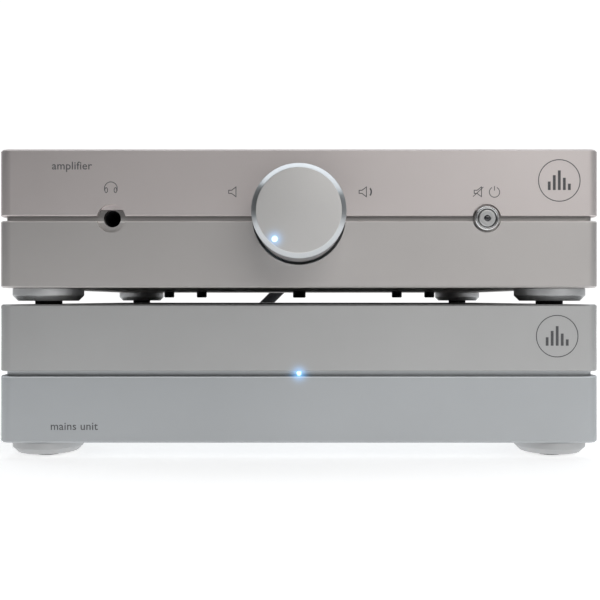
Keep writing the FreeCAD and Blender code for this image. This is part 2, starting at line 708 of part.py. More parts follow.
def feet(unit):
    """The case's four feet, their pads and the long screws that hold foot, tray and cover."""
    discs = []
    pads = []
    screws = []
    head_base = "(pad_seat + fit_gap - foot_height)"
    under_head = f"({head_base} + case_screw_head_height)"
    tip = f"({SEAM} + lip_rise + lip_play + case_screw_bite)"
    for x, y in corner_places():
        disc = foot()
        bind_place(disc, x, y, "0")
        discs.append(disc)
        pads.append(cylinder((x, y, f"-{STAND}"), "pad_radius", "pad_seat + pad_stand"))
        head = cylinder((x, y, head_base), "case_screw_head_radius", "case_screw_head_height")
        shank = cylinder((x, y, under_head), "case_screw_radius", f"{tip} - {under_head}")
        drive = hexagon((x, y, head_base), "case_screw_key", "case_screw_key_depth")
        screws.append(cut(fuse(head, shank), drive))
    sub_part(f"{unit}_feet", group(discs), unit)
    sub_part(f"{unit}_foot_pads", group(pads), unit)
    sub_part(f"{unit}_case_screws", group(screws), unit)


def rear_panel(unit, cut_outs):
    """The plate that carries the sockets, with its screws. cut_outs draws its holes."""
    body = new_body(f"{unit}_rear_panel")
    sketch = new_sketch(body, "XY_Plane", "-panel_inset - panel_thickness")
    half_x = "panel_width / 2"
    half_y = "panel_height / 2"
    draw_rounded(sketch, f"-{half_x}", half_x, f"-{half_y}", half_y, "panel_corner")
    for x, up in panel_screw_places():
        draw_circle(sketch, x, up, "panel_hole_radius")
    cut_outs(sketch)
    extrude(body, "Pad", sketch, "panel_thickness")
    sub_part(f"{unit}_rear_panel", body, f"{unit}_rear")
    screws = []
    shank_length = "(rear_wall - panel_inset - clear_gap)"
    key_floor = "panel_screw_head_height - panel_inset - panel_screw_key_depth"
    for x, up in panel_screw_places():
        head = cylinder((x, up, "-panel_inset"), "panel_screw_head_radius", "panel_screw_head_height")
        shank = cylinder((x, up, f"-panel_inset - {shank_length}"), "panel_screw_radius", shank_length)
        drive = hexagon((x, up, key_floor), "panel_screw_key", "panel_screw_key_depth")
        screws.append(cut(fuse(head, shank), drive))
    sub_part(f"{unit}_rear_panel_screws", group(screws), f"{unit}_rear")


def amp_cut_outs(sketch):
    """The holes for the phono sockets and the inlet, in the amplifier's rear panel."""
    for x, _ in phono_places():
        draw_circle(sketch, x, "0", "phono_thread_radius + fit_gap")
    draw_circle(sketch, "inlet_x", "0", "link_shell_radius + close_gap")


def psu_cut_outs(sketch):
    """The holes for the outlet, the switch and the mains inlet."""
    draw_circle(sketch, "outlet_x", "0", "link_shell_radius + close_gap")
    for centre, half_x, half_z in (
        ("switch_x", "(switch_half_x + fit_gap)", "(switch_half_z + fit_gap)"),
        ("mains_x", "(mains_half_x + fit_gap)", "(mains_half_z + fit_gap)"),
    ):
        left = f"{centre} - {half_x}"
        right = f"{centre} + {half_x}"
        corners = [(left, f"-{half_z}"), (right, f"-{half_z}"), (right, half_z), (left, half_z)]
        draw_polygon(sketch, corners)


# ---- Volume control ----------------------------------------------------------------------------


def volume_knob():
    """The knob: bevelled solid front, a hub for the shaft in a hollow, a hole for the light guide."""
    body = new_body("volume_knob")
    back = "-knob_inside"
    hollow_end = "(knob_relief_depth - knob_inside)"
    bore_end = "(knob_bore_depth - knob_inside)"
    bore = "shaft_radius + tight_gap"
    sketch = new_sketch(body, "XZ_Plane")
    draw_polygon(
        sketch,
        [
            (bore, back),
            ("knob_hub_radius", back),
            ("knob_hub_radius", hollow_end),
            ("knob_relief_radius", hollow_end),
            ("knob_relief_radius", back),
            ("knob_radius", back),
            ("knob_radius", "knob_reach - knob_chamfer"),
            ("knob_radius - knob_chamfer", "knob_reach"),
            ("0", "knob_reach"),
            ("0", bore_end),
            (bore, bore_end),
        ],
    )
    revolve(body, sketch)
    light = new_sketch(body, "XY_Plane", "knob_reach")
    draw_circle(light, *knob_light_place(), "knob_light_radius + tight_gap")
    extrude(body, "Pocket", light, f"knob_reach + knob_inside + {PAST}")
    grub = new_sketch(body, "XZ_Plane")
    draw_circle(grub, "0", "grub_reach", "grub_radius + close_gap")
    extrude(body, "Pocket", grub, f"knob_radius + {PAST}", backwards=True)
    return sub_part("volume_knob", body, "amp_front")


def knob_light_place():
    """The light guide's axis on the knob's face, in the front frame."""
    x = "-knob_light_orbit * sin(knob_light_angle)"
    y = "-knob_light_orbit * cos(knob_light_angle)"
    return x, y


def knob_fittings():
    """What turns with the knob: light guide, grub screw and shaft."""
    x, y = knob_light_place()
    guide = cylinder((x, y, "-knob_inside"), "knob_light_radius", "knob_reach + knob_inside")
    sub_part("knob_light_guide", guide, "amp_front")
    outer_end = "(clear_gap - knob_hub_radius)"
    grub_length = f"-{outer_end} - shaft_radius - tight_gap"
    grub = cylinder(("0", outer_end, "grub_reach"), "grub_radius", grub_length, "y")
    drive = cylinder(("0", outer_end, "grub_reach"), "grub_radius / 2", "grub_radius", "y")
    sub_part("knob_grub_screw", cut(grub, drive), "amp_front")
    shaft_length = "shaft_tail + knob_bore_depth - knob_inside - clear_gap"
    shaft = cylinder(("0", "0", "-shaft_tail"), "shaft_radius", shaft_length)
    sub_part("volume_shaft", shaft, "amp_front")


def potentiometer():
    """The potentiometer behind the knob, on a bracket that stands on the tray's floor."""
    floor = f"(floor_thickness - {SEAM})"
    plate_back = "(-bracket_depth - bracket_thickness)"
    plate = box(("-bracket_half", floor, plate_back), ("bracket_half", "bracket_top", "-bracket_depth"))
    flange = box(
        ("-bracket_half", floor, f"{plate_back} - bracket_flange"),
        ("bracket_half", f"{floor} + bracket_thickness", plate_back),
    )
    bush_hole = "pot_bush_radius + fit_gap"
    hole = cylinder(("0", "0", f"{plate_back} - {PAST}"), bush_hole, f"bracket_thickness + 2 * {PAST}")
    sub_part("potentiometer_bracket", cut(fuse(plate, flange), hole), "amp_front")
    face = f"({plate_back} - fit_gap)"
    case = box(("-pot_half", "-pot_half", f"{face} - pot_length"), ("pot_half", "pot_half", face))
    bush = cylinder(("0", "0", face), "pot_bush_radius", f"-pot_bush_end - {face}")
    bore_start = "(-shaft_tail - 5 * fit_gap)"
    bore_length = f"{PAST} - pot_bush_end - {bore_start}"
    bore = cylinder(("0", "0", bore_start), "shaft_radius + close_gap", bore_length)
    on_board = f"{BOARD_TOP} - {SEAM}"
    tab_z = f"{face} - pot_length / 2"
    terminals = [
        box(
            (f"{along} * pot_tab_spacing - tab_half", on_board, f"{tab_z} - tab_half"),
            (f"{along} * pot_tab_spacing + tab_half", "-pot_half", f"{tab_z} + tab_half"),
        )
        for along in (-1, 0, 1)
    ]
    sub_part("volume_potentiometer", cut(fuse(case, bush, *terminals), bore), "amp_front")
    nut_bore = cylinder(
        ("0", "0", f"-bracket_depth - {PAST}"), "pot_bush_radius + close_gap", f"pot_nut_length + 2 * {PAST}"
    )
    nut = cut(hexagon(("0", "0", "-bracket_depth"), "pot_nut_radius", "pot_nut_length"), nut_bore)
    sub_part("potentiometer_nut", nut, "amp_front")


# ---- Headphone socket and mute button ----------------------------------------------------------


def headphone_socket():
    """The socket's moulding behind the front wall, with its contact lugs on the back."""
    x = "-control_spacing"
    back = "(-wall - jack_bore_depth - jack_case_end)"
    low = (f"{x} - jack_case_half", "-jack_case_half", back)
    high = (f"{x} + jack_case_half", "jack_case_half", "-wall")
    case = box(low, high)
    bore = cylinder((x, "0", "-wall - jack_bore_depth"), "jack_bore_radius", "jack_bore_depth")
    lead_in = cone((x, "0", "-wall - lead_in"), "jack_bore_radius", "jack_bore_radius + lead_in", "lead_in")
    lugs = []
    for along in (-1, 0, 1):
        middle = f"{x} + {along} * jack_lug_spacing"
        low = (f"{middle} - tab_half", "-jack_lug_drop - tab_half", f"{back} - jack_lug_length")
        high = (f"{middle} + tab_half", "-jack_lug_drop + tab_half", back)
        lugs.append(box(low, high))
    sub_part("headphone_socket", cut(fuse(case, *lugs), bore, lead_in), "amp_front")


def mute_button():
    """The mute and standby button: bezel, switch, spring, cap and lens."""
    x = "control_spacing"
    switch_face = "-mute_switch_depth"
    bezel_length = "bezel_reach + mute_switch_depth"
    bezel = tube((x, "0", switch_face), "bezel_radius", "button_radius + button_gap", bezel_length)
    sub_part("mute_bezel", bezel, "amp_front")
    low = (f"{x} - mute_switch_half", "-mute_switch_half", f"{switch_face} - 2 * mute_switch_half")
    high = (f"{x} + mute_switch_half", "mute_switch_half", switch_face)
    plunger = cylinder((x, "0", switch_face), "plunger_radius", "plunger_length")
    sub_part("mute_switch", fuse(box(low, high), plunger), "amp_front")
    stem_end = "(plunger_length + button_travel + clear_gap - mute_switch_depth)"
    head = cylinder((x, "0", "-button_depth"), "button_radius", "bezel_reach + button_depth")
    stem = cylinder((x, "0", stem_end), "button_stem_radius", f"-button_depth - {stem_end}")
    seat_floor = "bezel_reach - lens_depth"
    seat = cylinder((x, "0", seat_floor), "lens_radius + tight_gap", f"lens_depth + {PAST}")
    sub_part("mute_button", cut(fuse(head, stem), seat), "amp_front")
    lens = cylinder((x, "0", f"{seat_floor} + close_gap"), "lens_radius", "lens_depth - 2 * close_gap")
    sub_part("mute_button_lens", lens, "amp_front")
    mute_spring(x)


def mute_spring(x):
    """The return spring round the button's stem: a coil between the switch and the button."""
    start = "(spring_wire + close_gap - mute_switch_depth)"
    length = f"(-button_depth - spring_wire - close_gap - {start})"
    coil = doc.addObject("Part::Helix", "spring_line")
    coil.SegmentLength = 1
    bind_place(coil, x, "0", start)
    bind(coil, "Radius", "spring_radius")
    bind(coil, "Height", length)
    bind(coil, "Pitch", f"{length} / spring_turns")
    section = doc.addObject("Part::Circle", "spring_section")
    section.Placement = FreeCAD.Placement(FreeCAD.Vector(), FreeCAD.Rotation(X_AXIS, 90))
    bind(section, "Radius", "spring_wire")
    bind_place(section, f"{x} + spring_radius", "0", start)
    made = doc.addObject("Part::Sweep", "spring")
    made.Sections = [section]
    made.Spine = (coil, [])
    made.Solid = True
    made.Frenet = True
    sub_part("mute_button_spring", group([made]), "amp_front")


# ---- Amplifier electronics ---------------------------------------------------------------------


def board(unit, low_x, high_x, low_y, high_y):
    """A circuit board on four hexagonal pillars, set in from its corners."""
    inset = 8
    stud = "pillar_stud_radius"
    across = (low_x + inset, high_x - inset)
    deep = (low_y + inset, high_y - inset)
    spots = [(f"{x}", f"{y}") for x in across for y in deep]
    plate = box((f"{low_x}", f"{low_y}", "board_height"), (f"{high_x}", f"{high_y}", BOARD_TOP))
    below = f"board_height - {PAST}"
    holes = [cylinder((x, y, below), f"{stud} + fit_gap", f"board_thickness + 2 * {PAST}") for x, y in spots]
    sub_part(f"{unit}_circuit_board", cut(plate, *holes), unit)
    rise = "board_height - floor_thickness"
    pillars = []
    for x, y in spots:
        pillar = hexagon((x, y, "floor_thickness"), "pillar_radius", rise)
        thread = cylinder((x, y, "board_height"), stud, "board_thickness + clear_gap")
        nut = hexagon((x, y, BOARD_TOP), "pillar_radius", "pillar_nut")
        pillars.append(fuse(pillar, thread, nut))
    sub_part(f"{unit}_board_pillars", group(pillars), unit)


def upright(x, half_x, ends_y, ends_z):
    """A box standing on a board or beside a heat sink, centred on one place along x."""
    return box((f"{x} - {half_x}", ends_y[0], ends_z[0]), (f"{x} + {half_x}", ends_y[1], ends_z[1]))


def amp_electronics():
    """The amplifier board and what stands on it, and the heat sink bar with its transistors."""
    board("amp", -92, 92, -92, 23)
    bar_front = "(sink_bar_y - sink_bar_half)"
    low = ("-sink_bar_length / 2", bar_front, "floor_thickness")
    high = ("sink_bar_length / 2", "sink_bar_y + sink_bar_half", "sink_bar_top")
    holes = []
    screws = []
    for x, radius, head_radius, head_height in sink_screws():
        hole_depth = f"sink_screw_length + 2 * {PAST}"
        holes.append(cylinder((x, "sink_bar_y", "0"), f"{radius} + close_gap", hole_depth))
        screws.append(cap_screw(x, "sink_bar_y", radius, head_radius, head_height))
    sub_part("amp_heat_sink", cut(box(low, high), *holes), "amp")
    sub_part("amp_heat_sink_screws", group(screws), "amp")
    transistor_front = f"{bar_front} - transistor_thickness"
    transistors = [
        upright(
            x,
            "transistor_half",
            (transistor_front, bar_front),
            ("transistor_base", "transistor_base + transistor_height"),
        )
        for x in (-63, -30, 30, 63)
    ]
    sub_part("output_transistors", group(transistors), "amp")
    cans = [
        cylinder((f"{x}", "-12", BOARD_TOP), "filter_can_radius", "filter_can_height")
        for x in (-54, -34, 34, 54)
    ]
    sub_part("filter_capacitors", group(cans), "amp")
    chip_z = (BOARD_TOP, f"{BOARD_TOP} + chip_height")
    chips = [upright(x, "chip_half", ("-43", "-36.5"), chip_z) for x in (-48, -30, 30, 48)]
    sub_part("op_amps", group(chips), "amp")
    relay_z = (BOARD_TOP, f"{BOARD_TOP} + relay_height")
    relays = [upright(x, "relay_half", ("-68", "-57"), relay_z) for x in (-48, 38)]
    sub_part("mute_relays", group(relays), "amp")


def sink_screws():
    """Each heat sink screw: place along the bar, shank radius, head radius and head height."""
    small = ("sink_screw_radius", "sink_screw_head_radius", "sink_screw_head_height")
    large = ("sink_bolt_radius", "sink_bolt_head_radius", "sink_bolt_head_height")
    places = [f"{side} * {place}" for place in ("sink_screw_inner", "sink_screw_outer") for side in (-1, 1)]
    return [(x, *small) for x in places] + [("0", *large)]


def cap_screw(x, y, radius, head_radius, head_height):
    """A socket cap screw driven up through the floor. Its key socket is half as wide and deep."""
    head = cylinder((x, y, f"-{head_height}"), head_radius, head_height)
    shank = cylinder((x, y, "0"), radius, "sink_screw_length")
    drive = hexagon((x, y, f"-{head_height}"), f"{head_radius} / 2", f"{head_height} / 2")
    return cut(fuse(head, shank), drive)


# ---- Sockets on the amplifier's back -----------------------------------------------------------


def phono_places():
    """Each phono socket's place along the rear panel and its name."""
    return [
        ("-phono_outer", "phono_input_left"),
        ("-phono_inner", "phono_input_right"),
        ("phono_inner", "phono_output_left"),
        ("phono_outer", "phono_output_right"),
    ]


def phono_sockets():
    """The four phono sockets, their insulators and the board that joins their tails."""
    insulators = []
    for x, label in phono_places():
        barrel = cylinder((x, "0", "-panel_inset"), "phono_radius", "panel_inset + socket_reach")
        collar = cylinder((x, "0", "-panel_inset"), "phono_collar_radius", "phono_collar")
        thread = cylinder((x, "0", "-phono_tail"), "phono_thread_radius", "phono_tail - panel_inset")
        bore = cylinder((x, "0", "-phono_bore_depth"), "phono_bore_radius", "phono_bore_depth + socket_reach")
        nut = hexagon(
            (x, "0", "-panel_inset - panel_thickness - phono_nut"), "phono_collar_radius", "phono_nut"
        )
        sub_part(label, cut(fuse(barrel, collar, thread, nut), bore), "amp_rear")
        insulator = cylinder(
            (x, "0", "-phono_bore_depth"),
            "phono_bore_radius - close_gap",
            f"phono_bore_depth + socket_reach - {PAST}",
        )
        contact_length = "phono_contact_depth + socket_reach"
        contact = cylinder((x, "0", "-phono_contact_depth"), "phono_contact_radius", contact_length)
        insulators.append(cut(insulator, contact))
    sub_part("phono_insulators", group(insulators), "amp_rear")
    rear = f"({BACK} - phono_tail)"
    low = ("-socket_board_half_x", f"{rear} - board_thickness", f"{SEAM} - socket_board_half_z")
    high = ("socket_board_half_x", rear, f"{SEAM} + socket_board_half_z")
    sub_part("amp_socket_board", box(low, high), "amp")


def link_socket(label, x, frame):
    """A round direct-current socket: flange, shell and body, open at the back for the plug."""
    shell = cylinder((x, "0", "-link_body"), "link_shell_radius", "link_body + link_shell_reach")
    flange = cylinder((x, "0", "-panel_inset"), "link_flange_radius", "link_flange")
    bore = cylinder((x, "0", "-link_bore_depth"), "link_bore_radius", "link_bore_depth + link_shell_reach")
    sub_part(label, cut(fuse(shell, flange), bore), frame)


# ---- Power supply ------------------------------------------------------------------------------


def power_light():
    """The light in the groove: a clear lens in front of its lamp."""
    length = "power_light_tail - lip_setback + power_light_reach"
    lens = cylinder(("0", "0", "-power_light_tail"), "power_light_radius", length)
    sub_part("power_light", lens, "psu_front")


def transformer():
    """The ring transformer, its dished washer and the bolt that holds it to the floor."""
    body = new_body("transformer_ring")
    base = "(floor_thickness + clear_gap)"
    top = f"({base} + transformer_height)"
    sketch = new_sketch(body, "XZ_Plane")
    draw_rounded(sketch, "transformer_eye", "transformer_radius", base, top, "transformer_round")
    revolve(body, sketch)
    bind_place(body, "transformer_x", "transformer_y", "0")
    place = ("transformer_x", "transformer_y")
    sub_part("transformer", group([body]), "psu")
    washer = tube((*place, top), "ring_washer_radius", "ring_bolt_radius + fit_gap", "ring_washer")
    head_base = f"({top} + ring_washer)"
    head = hexagon((*place, head_base), "ring_bolt_head_radius", "ring_bolt_head_height")
    shank = cylinder((*place, "ring_bolt_start"), "ring_bolt_radius", f"{head_base} - ring_bolt_start")
    sub_part("transformer_clamp", group([washer, fuse(head, shank)]), "psu")


def psu_electronics():
    """The regulator board, its capacitors and its finned heat sink."""
    board("psu", -98, 0, -92, 70)
    cans = [
        cylinder((f"{x}", f"{y}", BOARD_TOP), "reservoir_radius", "reservoir_height")
        for x in (-76, -48)
        for y in (-55, -28)
    ]
    sub_part("reservoir_capacitors", group(cans), "psu")
    spine_back = "(fin_spine_y + fin_spine)"
    spine = box(("-84", "fin_spine_y", BOARD_TOP), ("-14", spine_back, "fin_top"))
    fins = [
        box((f"{x}", spine_back, BOARD_TOP), (f"{x} + fin_thickness", f"{spine_back} + fin_reach", "fin_top"))
        for x in range(-84, -14, 8)
    ]
    sub_part("regulator_heat_sink", fuse(spine, *fins), "psu")
    regulator_front = "fin_spine_y - regulator_thickness"
    regulator_z = ("regulator_base", "regulator_base + regulator_height")
    regulators = [
        upright(x, "regulator_half", (regulator_front, "fin_spine_y"), regulator_z) for x in (-68, -49, -30)
    ]
    sub_part("voltage_regulators", group(regulators), "psu")


def rear_block(centre, half_x, ends_y, ends_z):
    """A box in a case's frame: y from the rear panel's face outwards, z from the seam."""
    return box(
        (f"{centre} - {half_x}", f"{PANEL_FACE} + ({ends_y[0]})", f"{SEAM} + ({ends_z[0]})"),
        (f"{centre} + {half_x}", f"{PANEL_FACE} + ({ends_y[1]})", f"{SEAM} + ({ends_z[1]})"),
    )


def mains_inlet():
    """The mains inlet with its three pins, and the fuse in its drawer below them."""
    x = "mains_x"
    out = f"mains_flange + {PAST}"
    flange = rear_block(
        x, "mains_flange_half_x", ("0", "mains_flange"), ("-mains_flange_half_z", "mains_flange_half_z")
    )
    case = rear_block(x, "mains_half_x", ("-mains_depth", "0"), ("-mains_half_z", "mains_half_z"))
    mouth = rear_block(x, "mouth_half_x", ("-mouth_depth", out), ("mouth_low", "mouth_high"))
    slot = rear_block(
        x,
        "(drawer_half_x + clear_gap)",
        (f"{PAST} - mains_depth", out),
        ("drawer_low - clear_gap", "drawer_high + clear_gap"),
    )
    sub_part("mains_inlet", cut(fuse(flange, case), mouth, slot), "psu")
    pins = [
        rear_block(
            f"{x} + ({across})",
            "pin_half_x",
            ("-mouth_depth", "-pin_recess"),
            (f"{up} - pin_half_z", f"{up} + pin_half_z"),
        )
        for across, up in ((-7, 4), (0, 8), (7, 4))
    ]
    sub_part("mains_pins", group(pins), "psu")
    face = "(mains_flange + 2 * clear_gap)"
    drawer = rear_block(
        x, "drawer_half_x", (f"{PAST} + clear_gap - mains_depth", face), ("drawer_low", "drawer_high")
    )
    well = rear_block(
        x,
        "(fuse_half_length + fuse_well_end)",
        ("-fuse_depth - fuse_well_half", "fuse_well_half - fuse_depth"),
        ("fuse_z - fuse_well_half", f"drawer_high + {PAST}"),
    )
    nail_slot = rear_block(
        x,
        "nail_slot_half",
        (f"{face} - nail_slot_depth", f"{face} + {PAST}"),
        ("drawer_high - nail_slot_height", f"drawer_high + {PAST}"),
    )
    sub_part("fuse_drawer", cut(drawer, well, nail_slot), "psu")
    fuse_start = (f"{x} - fuse_half_length", f"{PANEL_FACE} - fuse_depth", f"{SEAM} + fuse_z")
    fuse_tube = cylinder(fuse_start, "fuse_radius", "2 * fuse_half_length", "x")
    sub_part("mains_fuse", group([fuse_tube]), "psu")


def mains_switch():
    """The mains switch: a framed case and the rocker, which rests tilted one way."""
    x = "switch_x"
    frame = rear_block(
        x, "switch_frame_half_x", ("0", "switch_frame"), ("-switch_frame_half_z", "switch_frame_half_z")
    )
    case = rear_block(x, "switch_half_x", ("-switch_depth", "0"), ("-switch_half_z", "switch_half_z"))
    well_half_z = "(rocker_half_length + rocker_end_gap)"
    well = rear_block(
        x,
        "(rocker_width / 2 + rocker_side_gap)",
        ("switch_floor - switch_depth", f"switch_frame + {PAST}"),
        (f"-{well_half_z}", well_half_z),
    )
    pivot_y = f"({PANEL_FACE} - rocker_pivot_depth)"
    pin_half = "(rocker_width / 2 + rocker_pin_reach)"
    hole_half = f"({pin_half} + clear_gap)"
    pin_hole = cylinder(
        (f"{x} - {hole_half}", pivot_y, SEAM), "rocker_pin_radius + close_gap", f"2 * {hole_half}", "x"
    )
    sub_part("mains_switch_frame", cut(fuse(frame, case), well, pin_hole), "psu")
    body = new_body("rocker_blank")
    sketch = new_sketch(body, "YZ_Plane")
    draw_polygon(
        sketch,
        [
            ("rocker_crest", "0"),
            ("rocker_lip", "rocker_half_length"),
            ("-rocker_skirt", "rocker_half_length"),
            ("-rocker_heel", "rocker_heel_half"),
            ("-rocker_heel", "-rocker_heel_half"),
            ("-rocker_skirt", "-rocker_half_length"),
            ("rocker_lip", "-rocker_half_length"),
        ],
    )
    extrude(body, "Pad", sketch, "rocker_width", centred=True)
    body.Placement = FreeCAD.Placement(
        FreeCAD.Vector(), FreeCAD.Rotation(X_AXIS, SIZES["rocker_tilt"])
    )
    bind_place(body, x, pivot_y, SEAM)
    pin = cylinder((f"{x} - {pin_half}", pivot_y, SEAM), "rocker_pin_radius", f"2 * {pin_half}", "x")
    sub_part("mains_rocker", fuse(body, pin), "psu")


# ---- Link lead ---------------------------------------------------------------------------------


def link_plug(label, x, frame):
    """A plug of the link lead: nose in the socket, ribbed grip, tapered strain relief."""
    nose_length = "plug_nose + link_shell_reach + clear_gap + fit_gap"
    nose = cylinder((x, "0", "-plug_nose"), "link_bore_radius - fit_gap", nose_length)
    grip_start = "(link_shell_reach + clear_gap)"
    grip = cylinder((x, "0", grip_start), "plug_grip_radius", f"plug_end - {grip_start}")
    relief = cone((x, "0", "plug_end"), "relief_radius", "relief_tip", "relief_end - plug_end")
    groove_base = "plug_grip_radius - plug_groove_depth"
    grooves = [
        tube(
            (x, "0", f"{grip_start} + plug_groove_start + {step} * plug_groove_pitch"),
            f"plug_grip_radius + {PAST}",
            groove_base,
            "plug_groove",
        )
        for step in range(4)
    ]
    sub_part(label, cut(fuse(nose, grip, relief), *grooves), frame)


# The link lead's route, chosen by hand, from the upper plug to the lower one, in the object's frame
# measured from the middle of the back face at the floor: x to the right, y away from the back. It
# starts 0.2 mm clear of the upper strain relief, which lifts away with the amplifier.
CORD_ROUTE = [
    (8.0, 40.2, 91.3),
    (8.0, 61.5, 91.3),
    (1.0, 81.5, 83.0),
    (-14.5, 93.5, 68.5),
    (-32.0, 93.0, 51.0),
    (-46.3, 81.5, 37.5),
    (-54.0, 61.5, 32.55),
    (-54.0, 40.0, 32.55),
]


def link_cord():
    """The lead as straight runs joined by tangent arcs, each as large as its two runs allow."""
    back = size(f"{CASE_SHIFT} + {BACK}")
    route = [FreeCAD.Vector(x, y + back, z) for x, y, z in CORD_ROUTE]
    edges = []
    here = route[0]
    for before, corner, after in zip(route, route[1:], route[2:]):
        into = (corner - before).normalize()
        out = (after - corner).normalize()
        turn = into.getAngle(out)
        reach = 0.45 * min((corner - before).Length, (after - corner).Length)
        radius = reach / math.tan(turn / 2)
        start = corner - into * reach
        end = corner + out * reach
        middle = (start + end) * 0.5
        inward = (middle - corner).normalize()
        crest = corner + inward * (radius / math.cos(turn / 2) - radius)
        edges.append(Part.LineSegment(here, start).toShape())
        edges.append(Part.Arc(start, crest, end).toShape())
        print(f"link_cord: radius {radius:.1f} at a turn of {math.degrees(turn):.0f} degrees")
        here = end
    edges.append(Part.LineSegment(here, route[-1]).toShape())
    path = Part.Wire(edges)
    section = Part.makeCircle(size("cord_radius"), route[0], (route[1] - route[0]).normalize())
    tube_shape = path.makePipeShell([Part.Wire(section)], True, False)
    expected = math.pi * size("cord_radius") ** 2 * path.Length
    print(f"link_cord: {path.Length:.1f} mm long, volume {tube_shape.Volume / expected:.4f} of expected")
    made = doc.addObject("Part::Feature", "link_cord")
    made.Label = "link_cord"
    made.Shape = tube_shape
    sub_parts.append(made)


# ---- The whole object --------------------------------------------------------------------------


def build():
    """Every sub-part, case by case."""
    for unit, cut_outs in (("amp", amp_cut_outs), ("psu", psu_cut_outs)):
        cover(unit)
        tray(unit)
        feet(unit)
        rear_panel(unit, cut_outs)
    volume_knob()
    knob_fittings()
    potentiometer()
    headphone_socket()
    mute_button()
    amp_electronics()
    phono_sockets()
    link_socket("dc_inlet", "inlet_x", "amp_rear")
    power_light()
    transformer()
    psu_electronics()
    mains_inlet()
    mains_switch()
    link_socket("dc_outlet", "outlet_x", "psu_rear")
    link_plug("link_plug_upper", "inlet_x", "amp_rear")
    link_plug("link_plug_lower", "outlet_x", "psu_rear")
    link_cord()


def check_and_export():
    """Stops on any failed feature or bad shape, then writes one STEP file per sub-part."""
    doc.recompute()
    for feature in doc.Objects:
        if {"Invalid", "Error"} & set(feature.State):
            raise ValueError(f"{feature.Label} failed: {feature.State}")
    os.makedirs("parts", exist_ok=True)
    for made in sub_parts:
        shape = made.Shape
        if shape.isNull() or not shape.isValid() or not shape.Solids:
            raise ValueError(f"{made.Label} has no valid solid")
    for made in sub_parts:
        made.Shape.exportStep(f"parts/{made.Label}.step")
    print(f"{len(sub_parts)} sub-parts")


build()
check_and_export()
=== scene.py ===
"""The looks of the two-case headphone amplifier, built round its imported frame.

The frame is in metres: +Z up, the front looks along -Y, +X to the right seen from the front.
Profiles, bevels and strokes are given in millimetres.
"""

import math

import bmesh
import bpy
from mathutils import Matrix, Vector


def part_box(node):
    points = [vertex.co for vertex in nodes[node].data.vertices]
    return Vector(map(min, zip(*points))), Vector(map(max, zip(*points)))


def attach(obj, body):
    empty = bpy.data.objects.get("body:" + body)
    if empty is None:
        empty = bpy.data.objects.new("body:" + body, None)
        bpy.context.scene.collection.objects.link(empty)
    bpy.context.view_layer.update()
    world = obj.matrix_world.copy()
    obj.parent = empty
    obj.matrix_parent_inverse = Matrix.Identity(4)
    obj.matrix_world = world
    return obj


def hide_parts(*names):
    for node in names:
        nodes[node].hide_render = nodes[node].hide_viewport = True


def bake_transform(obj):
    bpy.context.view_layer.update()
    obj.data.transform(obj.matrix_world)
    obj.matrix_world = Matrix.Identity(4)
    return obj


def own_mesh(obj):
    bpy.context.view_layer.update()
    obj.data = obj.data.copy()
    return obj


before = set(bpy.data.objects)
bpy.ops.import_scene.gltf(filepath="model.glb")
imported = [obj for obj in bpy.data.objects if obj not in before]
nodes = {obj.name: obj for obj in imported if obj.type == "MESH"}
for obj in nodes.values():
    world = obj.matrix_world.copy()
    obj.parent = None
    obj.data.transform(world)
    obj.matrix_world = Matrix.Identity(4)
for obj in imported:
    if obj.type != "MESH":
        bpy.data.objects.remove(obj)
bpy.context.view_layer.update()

MM = 0.001

# Places read from the frame.
case_low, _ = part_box("amp_tray")
_, case_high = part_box("amp_cover")
FRONT_Y = case_low.y
BACK_Y = case_high.y
AMP_BASE = case_low.z
PSU_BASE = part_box("psu_tray")[0].z
CASE_HEIGHT = case_high.z - AMP_BASE
AMP_SEAM = AMP_BASE + CASE_HEIGHT / 2
PSU_SEAM = PSU_BASE + CASE_HEIGHT / 2
PANEL_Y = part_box("amp_rear_panel")[1].y

FORWARD = Vector((0, -1, 0))
BACKWARD = Vector((0, 1, 0))
DOWN = Vector((0, 0, -1))
UP = Vector((0, 0, 1))


def centred(low, high, **moved):
    """The middle of a box, with its x, y or z moved to the values given."""
    place = (low + high) / 2
    for axis, value in moved.items():
        setattr(place, axis, value)
    return place


def middle(node):
    """The middle of a CAD node's box."""
    return centred(*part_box(node))


def span(low, high):
    """A box's size along x, y and z, in millimetres."""
    return (high - low) / MM


def solids_of(node):
    """The lowest and highest corners of each separate solid in a CAD node, from left to right."""
    mesh = bmesh.new()
    mesh.from_mesh(nodes[node].data)
    bmesh.ops.remove_doubles(mesh, verts=mesh.verts, dist=1e-6)
    left = dict.fromkeys(mesh.verts)
    found = []
    while left:
        stack = [left.popitem()[0]]
        corners = []
        while stack:
            vertex = stack.pop()
            corners.append(vertex.co.copy())
            for edge in vertex.link_edges:
                other = edge.other_vert(vertex)
                if other in left:
                    del left[other]
                    stack.append(other)
        found.append((Vector(map(min, *corners)), Vector(map(max, *corners))))
    mesh.free()
    return sorted(found, key=lambda pair: tuple(pair[0]))


# ---- Materials ----


